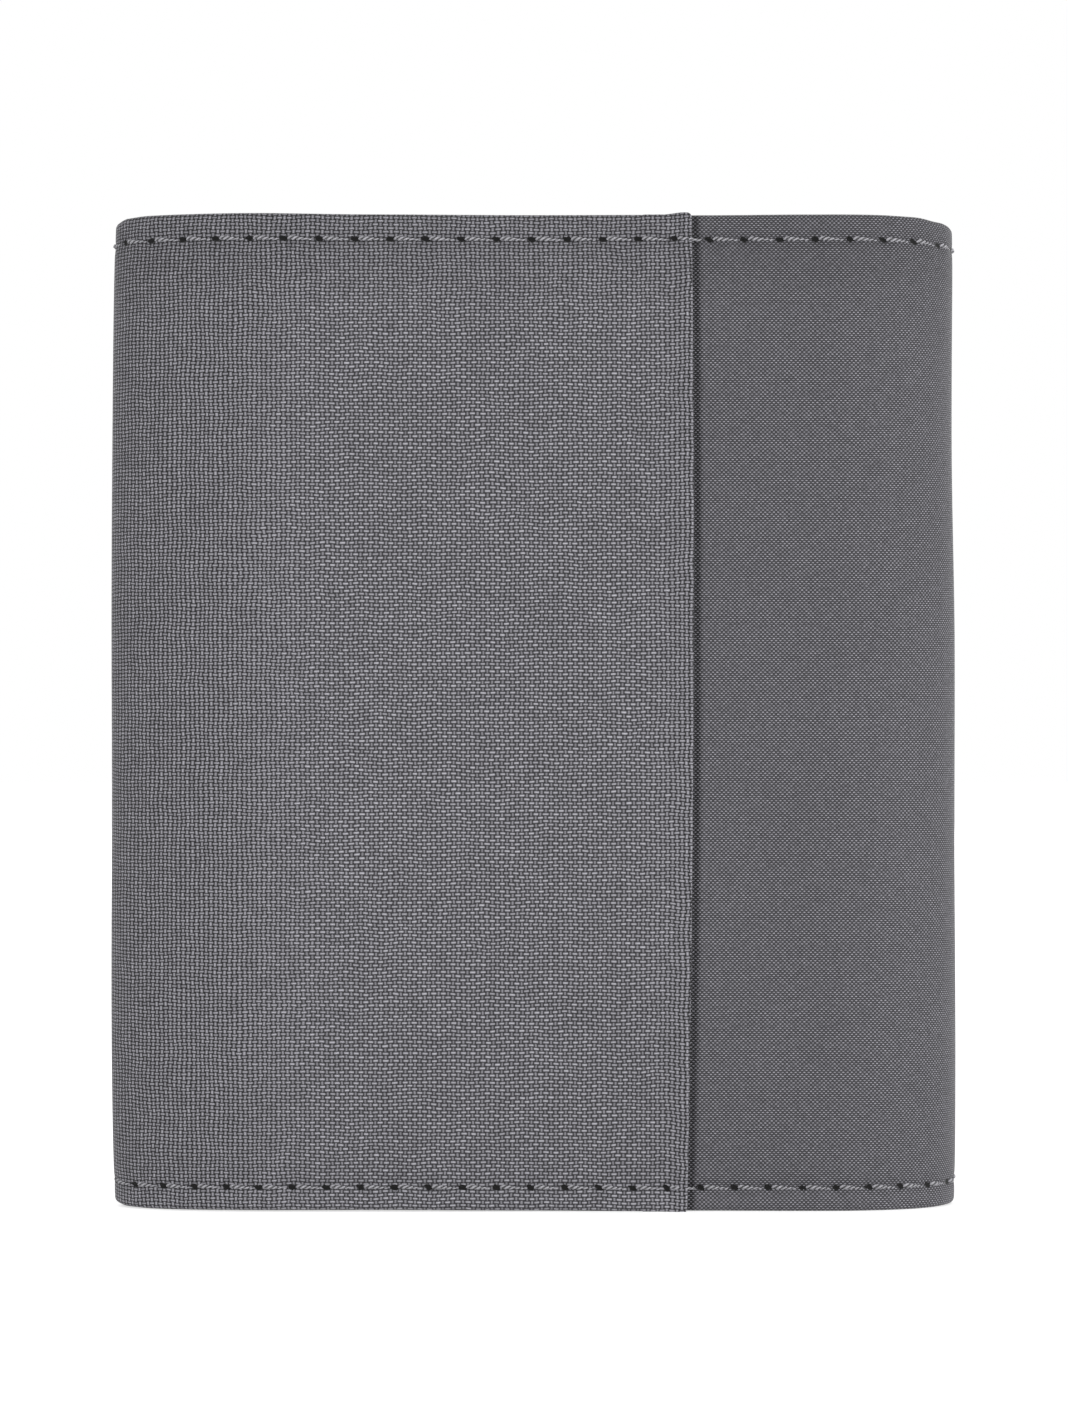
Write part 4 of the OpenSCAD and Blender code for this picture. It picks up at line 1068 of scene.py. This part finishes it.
def make_fastener():
    """The hook patch on the outer flap and the loop patch on the inner flap."""
    draw = random.Random(7)
    edge = 1.1 * MM
    for kind, body, way in (("hook", "outer_flap", -1), ("loop", "inner_flap", 1)):
        node, slot = f"{kind}_patch", f"{kind}_tape"
        low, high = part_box(node)
        base = high.y - 0.36 * MM if kind == "hook" else low.y + 0.3 * MM
        faces = (base, high.y + 0.04 * MM) if kind == "hook" else (low.y - 0.08 * MM, base)
        lines = frame_lines(low.x + edge, high.x - edge, low.z + edge, high.z - edge)
        sheet(slot, node, body, slot, *faces, corner=2 * MM, lines=lines)
        if kind == "hook":
            places = [(x, base + 0.02 * MM, z)
                      for x in np.arange(low.x + HOOK_MARGIN, high.x - 2 * MM, HOOK_PITCH_X)
                      for z in np.arange(low.z + HOOK_MARGIN, high.z - HOOK_MARGIN, HOOK_PITCH_Z)]
            grip = bristles("hooks", HOOK_FORM, HOOK_R, HOOK_SIDES, places,
                            [0.15 * draw.uniform(-1, 1) for place in places], [0.95] * len(places), HOOKS)
        else:
            places = [(draw.uniform(low.x + LOOP_MARGIN, high.x - LOOP_MARGIN), base - 0.03 * MM,
                       draw.uniform(low.z + LOOP_MARGIN, high.z - LOOP_MARGIN)) for number in range(LOOP_COUNT)]
            grip = bristles("loops", LOOP_FORM, LOOP_R, LOOP_SIDES, places,
                            [draw.uniform(0, 2 * math.pi) for place in places],
                            [draw.uniform(0.6, 1.05) for place in places], LOOPS)
        belongs(grip, body, slot, node)
        sewing(f"stitches_{slot}", stitches(lines, base, way, TAPE_STITCH_PITCH), body, slot)


def two_faces(spots, faces):
    """The two grids of a strip, from its places as x and z, and the y of each face."""
    return [np.stack([place[..., 0], np.broadcast_to(y, place.shape[:2]), place[..., 1]], axis=-1)
            for place, y in zip(spots, faces)]


def make_outer_flap_inside():
    """The divider on the outer flap, and the coin pouch with its zip tapes."""
    low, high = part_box("pouch_gusset")
    flat_high = high.y + 0.5 * MM

    def divider_high(x, z):
        dip = OUTER_TIP_DROP * np.maximum(0, 1 - (x - OUTER_TIP_X) / OUTER_TIP_BAND) ** 2
        return bent_to_seam(z, flat_high, FRONT_FACE - OUTER_FLAP_T - 0.4 * fall(z) - SEWN_GAP) - dip

    flap_divider("outer_flap", divider_high, flat_high - high.y, (1.5 * MM, 1 * MM), 0)

    radius, wall, edge = 3 * MM, 0.6 * MM, 0.08
    loop, outward, run = frame_path(low.x, high.x, low.z, high.z, radius)
    t = strip_steps(edge)
    tuck = GUSSET_TUCK * np.sin(math.pi * t) ** 2
    y = high.y + 0.05 * MM + (low.y - 0.1 * MM - high.y) * t
    keep = round_off(np.minimum(t, 1 - t), edge)
    inward = (tuck + wall / 2 + side * wall / 2 * keep for side in (-1, 1))
    outer, inner = two_faces([loop[:, None] - outward[:, None] * reach[None, :, None] for reach in inward], (y, y))
    uv = np.stack(np.broadcast_arrays(run[:, None], y[None, :]), axis=-1)
    gusset = closed_cloth("pouch_gusset_cloth", outer, inner, uv, [FINISH["pocket_cloth"]])
    belongs(gusset, "outer_flap", "pocket_cloth", "pouch_gusset")

    thread = []
    for node, way in (("pouch_panel_inboard", 1), ("pouch_panel_outboard", -1)):
        low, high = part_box(node)
        outer_x, slit_x = (low.x, high.x) if way > 0 else (high.x, low.x)

        def puff(x, z):
            return POUCH_PUFF * np.sin(math.pi * (x - low.x) / (high.x - low.x)) * np.sin(
                math.pi * np.clip((z - low.z) / (high.z - low.z), 0, 1)) ** 0.5

        def front(x, z):
            return low.y - puff(x, z) - 0.1 * MM * (1 - smooth(np.abs(x - slit_x), 2.1 * MM, 2.4 * MM))

        tape_x, side_x = slit_x - way * 1.7 * MM, outer_x + way * POUCH_SEAM
        z0, z1 = low.z + POUCH_SEAM, high.z - POUCH_SEAM
        lines = [((tape_x, z0), (tape_x, z1)),
                 ((side_x, low.z + POUCH_SEAM_END), (side_x, high.z - POUCH_SEAM_END))]
        lines += [level_line(outer_x + way * POUCH_SEAM_END, tape_x, z) for z in (z0, z1)]
        sheet(f"{node}_cloth", node, "outer_flap", "pocket_cloth", front, lambda x, z: high.y - puff(x, z),
              extra=(PANEL_TURN, 0), corner=radius, left=way > 0, right=way < 0, lines=lines,
              break_x=(slit_x - way * 2.25 * MM,), step=1.2 * MM)
        thread += stitches(lines, front, -1)
    sewing("stitches_pouch", thread, "outer_flap", "pocket_cloth")

    low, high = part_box("zip_tapes")
    width = (high.x - low.x - TAPES_APART) / 2
    strips = [panel(name, (x0, x0 + width), (low.z, high.z), low.y + 0.02 * MM, high.y - 0.02 * MM, TAPE)
              for name, x0 in (("zip_tapes_cloth", low.x), ("zip_tape_outboard", high.x - width))]
    bpy.ops.object.select_all(action="DESELECT")
    for strip in strips:
        strip.select_set(True)
    bpy.context.view_layer.objects.active = strips[0]
    bpy.ops.object.join()
    belongs(strips[0], "outer_flap", "zip_tape", "zip_tapes")


def frame_path(x0, x1, z0, z1, radius, gap=0.0):
    """Points round a rectangle with round corners, clockwise from the middle of its top, as x and z.

    Gives the points, the directions outwards and the length run so far. gap is left open at the start."""
    middle, points, outward = (x0 + x1) / 2, [], []
    left, right, foot, top = x0 + radius, x1 - radius, z0 + radius, z1 - radius

    def straight(start, end, way, count):
        for t in np.linspace(0, 1, count, endpoint=False):
            points.append((start[0] + (end[0] - start[0]) * t, start[1] + (end[1] - start[1]) * t))
            outward.append(way)

    for start, end, way, count, (cx, cz), turn in (
            ((middle + gap, z1), (right, z1), (0, 1), 8, (right, top), 90),
            ((x1, top), (x1, foot), (1, 0), 34, (right, foot), 0),
            ((right, z0), (left, z0), (0, -1), 16, (left, foot), -90),
            ((x0, foot), (x0, top), (-1, 0), 34, (left, top), -180)):
        straight(start, end, way, count)
        for a in np.radians(turn - 90 * np.linspace(0, 1, 7, endpoint=False)):
            points.append((cx + radius * math.cos(a), cz + radius * math.sin(a)))
            outward.append((math.cos(a), math.sin(a)))
    straight((left, z1), (middle - gap, z1), (0, 1), 8)
    points.append((middle - gap, z1))
    outward.append((0, 1))
    points, outward = np.array(points, float), np.array(outward, float)
    run = np.concatenate([[0], np.cumsum(np.linalg.norm(np.diff(points, axis=0), axis=1))])
    return points, outward, run


def make_inner_flap_inside():
    """The divider on the inner flap, and the photo window."""
    low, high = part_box("note_divider_inner_flap")
    flat_high, divider_t = high.y, high.y - low.y

    def divider_high(x, z):
        return bent_to_seam(z, flat_high, INNER_FACE - INNER_FLAP_T + 0.6 * fall(z) - SEWN_GAP)

    flap_divider("inner_flap", divider_high, divider_t, (2 * MM, 1.5 * MM), 1 * MM)

    low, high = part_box("window_backing")
    sheet("window_backing_cloth", "window_backing", "inner_flap", "lining_cloth", low.y, high.y + 0.02 * MM,
          corner=0.5 * MM)
    low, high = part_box("window_film")
    sheet("window_clear_film", "window_film", "inner_flap", "clear_film", low.y + 0.02 * MM, high.y - 0.04 * MM)

    low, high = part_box("window_border_cloth")
    border, notch, corner = 4.5 * MM, 7 * MM, 3 * MM
    outer_seam, inner_seam = 1.2 * MM, border - 1 * MM
    outside = frame_path(low.x, high.x, low.z, high.z, 0.6 * MM, notch)[0]
    gap = math.sqrt(notch ** 2 - border ** 2)
    inside = frame_path(low.x + border, high.x - border, low.z + border, high.z - border, corner, gap)[0]
    edge = CLOTH_EDGE / border
    t = strip_steps(edge)
    spots = inside[:, None] + (outside - inside)[:, None] * t[None, :, None]
    turns = -math.asin(border / notch) * (1 - t)
    middle = (low.x + high.x) / 2
    for column, side in ((0, 1), (-1, -1)):
        spots[column] = np.stack([middle + side * notch * np.cos(turns), high.z + notch * np.sin(turns)], axis=-1)
    keep = round_off(np.minimum(t, 1 - t), edge)
    press = PRESS * bell(t * border - (border - outer_seam), PRESS_W)
    press = press + PRESS * bell(t * border - (border - inner_seam), PRESS_W)
    half = (high.y - low.y) / 2 - press
    faces = [(low.y + high.y) / 2 + side * half * keep for side in (-1, 1)]
    cloth = closed_cloth("window_border", *two_faces((spots, spots), faces), spots, [FINISH["pocket_cloth"]],
                         flat_ends=(0, -1))
    belongs(cloth, "inner_flap", "pocket_cloth", "window_border_cloth")
    thread = []
    for inset, top_gap in ((outer_seam, 8 * MM), (inner_seam, 6.6 * MM)):
        x0, x1, z0, z1 = low.x + inset, high.x - inset, low.z + inset, high.z - inset
        corners = [(middle + top_gap, z1), (x1, z1), (x1, z0), (x0, z0), (x0, z1), (middle - top_gap, z1)]
        thread += stitches(zip(corners, corners[1:]), low.y, -1)
    sewing("stitches_window", thread, "inner_flap", "pocket_cloth")


def softened(node, width, finish):
    """Takes a rigid node's place by a copy of it with rounded edges."""
    bpy.ops.object.select_all(action="DESELECT")
    piece = new_object(f"{node}_finished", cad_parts[node].data.copy())
    mesh = piece.data
    mesh.name = piece.name
    mesh.materials.clear()
    mesh.materials.append(finish)
    form = bmesh.new()
    form.from_mesh(mesh)
    bmesh.ops.remove_doubles(form, verts=form.verts, dist=2e-6)
    bmesh.ops.dissolve_limit(form, angle_limit=math.radians(1), verts=form.verts, edges=form.edges)
    form.to_mesh(mesh)
    form.free()
    for face in mesh.polygons:
        face.material_index = 0
    bpy.context.view_layer.objects.active = piece
    piece.select_set(True)
    bevel = piece.modifiers.new("rounding", "BEVEL")
    bevel.width, bevel.segments, bevel.limit_method = width, 2, "ANGLE"
    bevel.angle_limit = math.radians(25)
    bpy.ops.object.modifier_apply(modifier=bevel.name)
    bpy.ops.object.shade_smooth_by_angle(angle=math.radians(40))
    return piece


def make_zip():
    """Teeth, stops, slider and pull."""
    for node, width, slot, body in (
            ("zip_teeth_inboard", 0.1 * MM, "zip_teeth", "outer_flap"),
            ("zip_teeth_outboard", 0.1 * MM, "zip_teeth", "outer_flap"),
            ("zip_stops", 0.2 * MM, "zip_metal", "outer_flap"),
            ("zip_slider", 0.18 * MM, "zip_metal", "zip_slider"),
            ("zip_pull_tab", 0.2 * MM, "pull_tab", "zip_pull")):
        belongs(softened(node, width, FINISH[slot]), body, slot, node)
    low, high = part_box("zip_pull_ring")
    wire = (high.y - low.y) / 2
    bpy.ops.mesh.primitive_torus_add(
        major_segments=64, minor_segments=16, major_radius=(high.x - low.x) / 2 - wire, minor_radius=wire,
        location=(low + high) / 2, rotation=(math.pi / 2, 0, 0))
    ring = bpy.context.object
    ring.name = ring.data.name = "zip_pull_ring_wire"
    bpy.ops.object.transform_apply(location=True, rotation=True, scale=True)
    bpy.ops.object.shade_smooth()
    ring.data.materials.append(FINISH["zip_metal"])
    belongs(ring, "zip_pull", "zip_metal", "zip_pull_ring")


def make_camera():
    data = bpy.data.cameras.new("camera")
    data.sensor_width = SENSOR
    data.lens = CAMERA_DISTANCE * PIXELS_PER_METRE / IMAGE_HEIGHT_PX * SENSOR
    data.clip_start, data.clip_end = 0.01, 20
    camera = new_object("camera", data)
    camera.location = (OBJECT_SHIFT_X, COARSE_FACE - CAMERA_DISTANCE, CAMERA_Z)
    camera.rotation_euler = (math.pi / 2, 0, 0)
    bpy.context.scene.camera = camera


def area_light(name, place, size, power, aim_z):
    data = bpy.data.lights.new(name, "AREA")
    data.shape, data.size, data.size_y = "RECTANGLE", size[0], size[1]
    data.energy = power
    lamp = new_object(name, data)
    lamp.visible_camera = False
    lamp.location = place
    lamp.rotation_euler = (Vector((0, 0, aim_z)) - Vector(place)).to_track_quat("-Z", "Y").to_euler()


def seen(g):
    """1 for the camera, and for what gloss and clear film show of the surroundings."""
    path = g.add("ShaderNodeLightPath").outputs
    return g.math("MAXIMUM", path["Is Camera Ray"],
                  g.math("MAXIMUM", path["Is Glossy Ray"], path["Is Transmission Ray"]))


def make_room():
    """White floor that keeps the shadow, white surroundings and soft lamps."""
    white, floor_glow, seen_light, own_light = (1, 1, 1, 1), 0.62, 0.5, 0.5
    bpy.ops.mesh.primitive_plane_add(size=6)
    floor = bpy.context.object
    floor.name = "floor"
    made, g, shader = new_material("floor_white")
    g.fill(shader, {"Base Color": (0.88, 0.88, 0.88, 1), "Roughness": 0.9, "Specular IOR Level": 0.0,
                    "Emission Strength": g.times(seen(g), floor_glow), "Emission Color": white})
    floor.data.materials.append(made)
    world = bpy.data.worlds.new("surroundings")
    bpy.context.scene.world = world
    world.use_nodes = True
    g = Graph(world.node_tree)
    background = next(n for n in g.nodes if n.type == "BACKGROUND")
    g.fill(background, {"Color": white, "Strength": g.times(seen(g), seen_light, own_light)})
    area_light("key_lamp", (-0.95, -1.0, 0.16), (0.9, 0.3), 3.6, MID_Z)
    area_light("fill_lamp", (0.9, -1.0, 0.16), (0.9, 0.3), 2.6, MID_Z)
    area_light("low_lamp", (0, -0.36, 0.03), (0.8, 0.05), 0.95, 0.03)
    area_light("side_lamp", (1.4, -0.35, 0.2), (0.8, 0.4), 9, MID_Z)
    area_light("rear_lamp", (-0.3, 1.4, 0.6), (1.2, 0.8), 8, MID_Z)
    bpy.context.scene.view_settings.view_transform = "Standard"


make_camera()
make_room()
make_covers()
make_seam_threads()
make_back_pockets()
make_outer_flap_inside()
make_fastener()
make_inner_flap_inside()
make_zip()
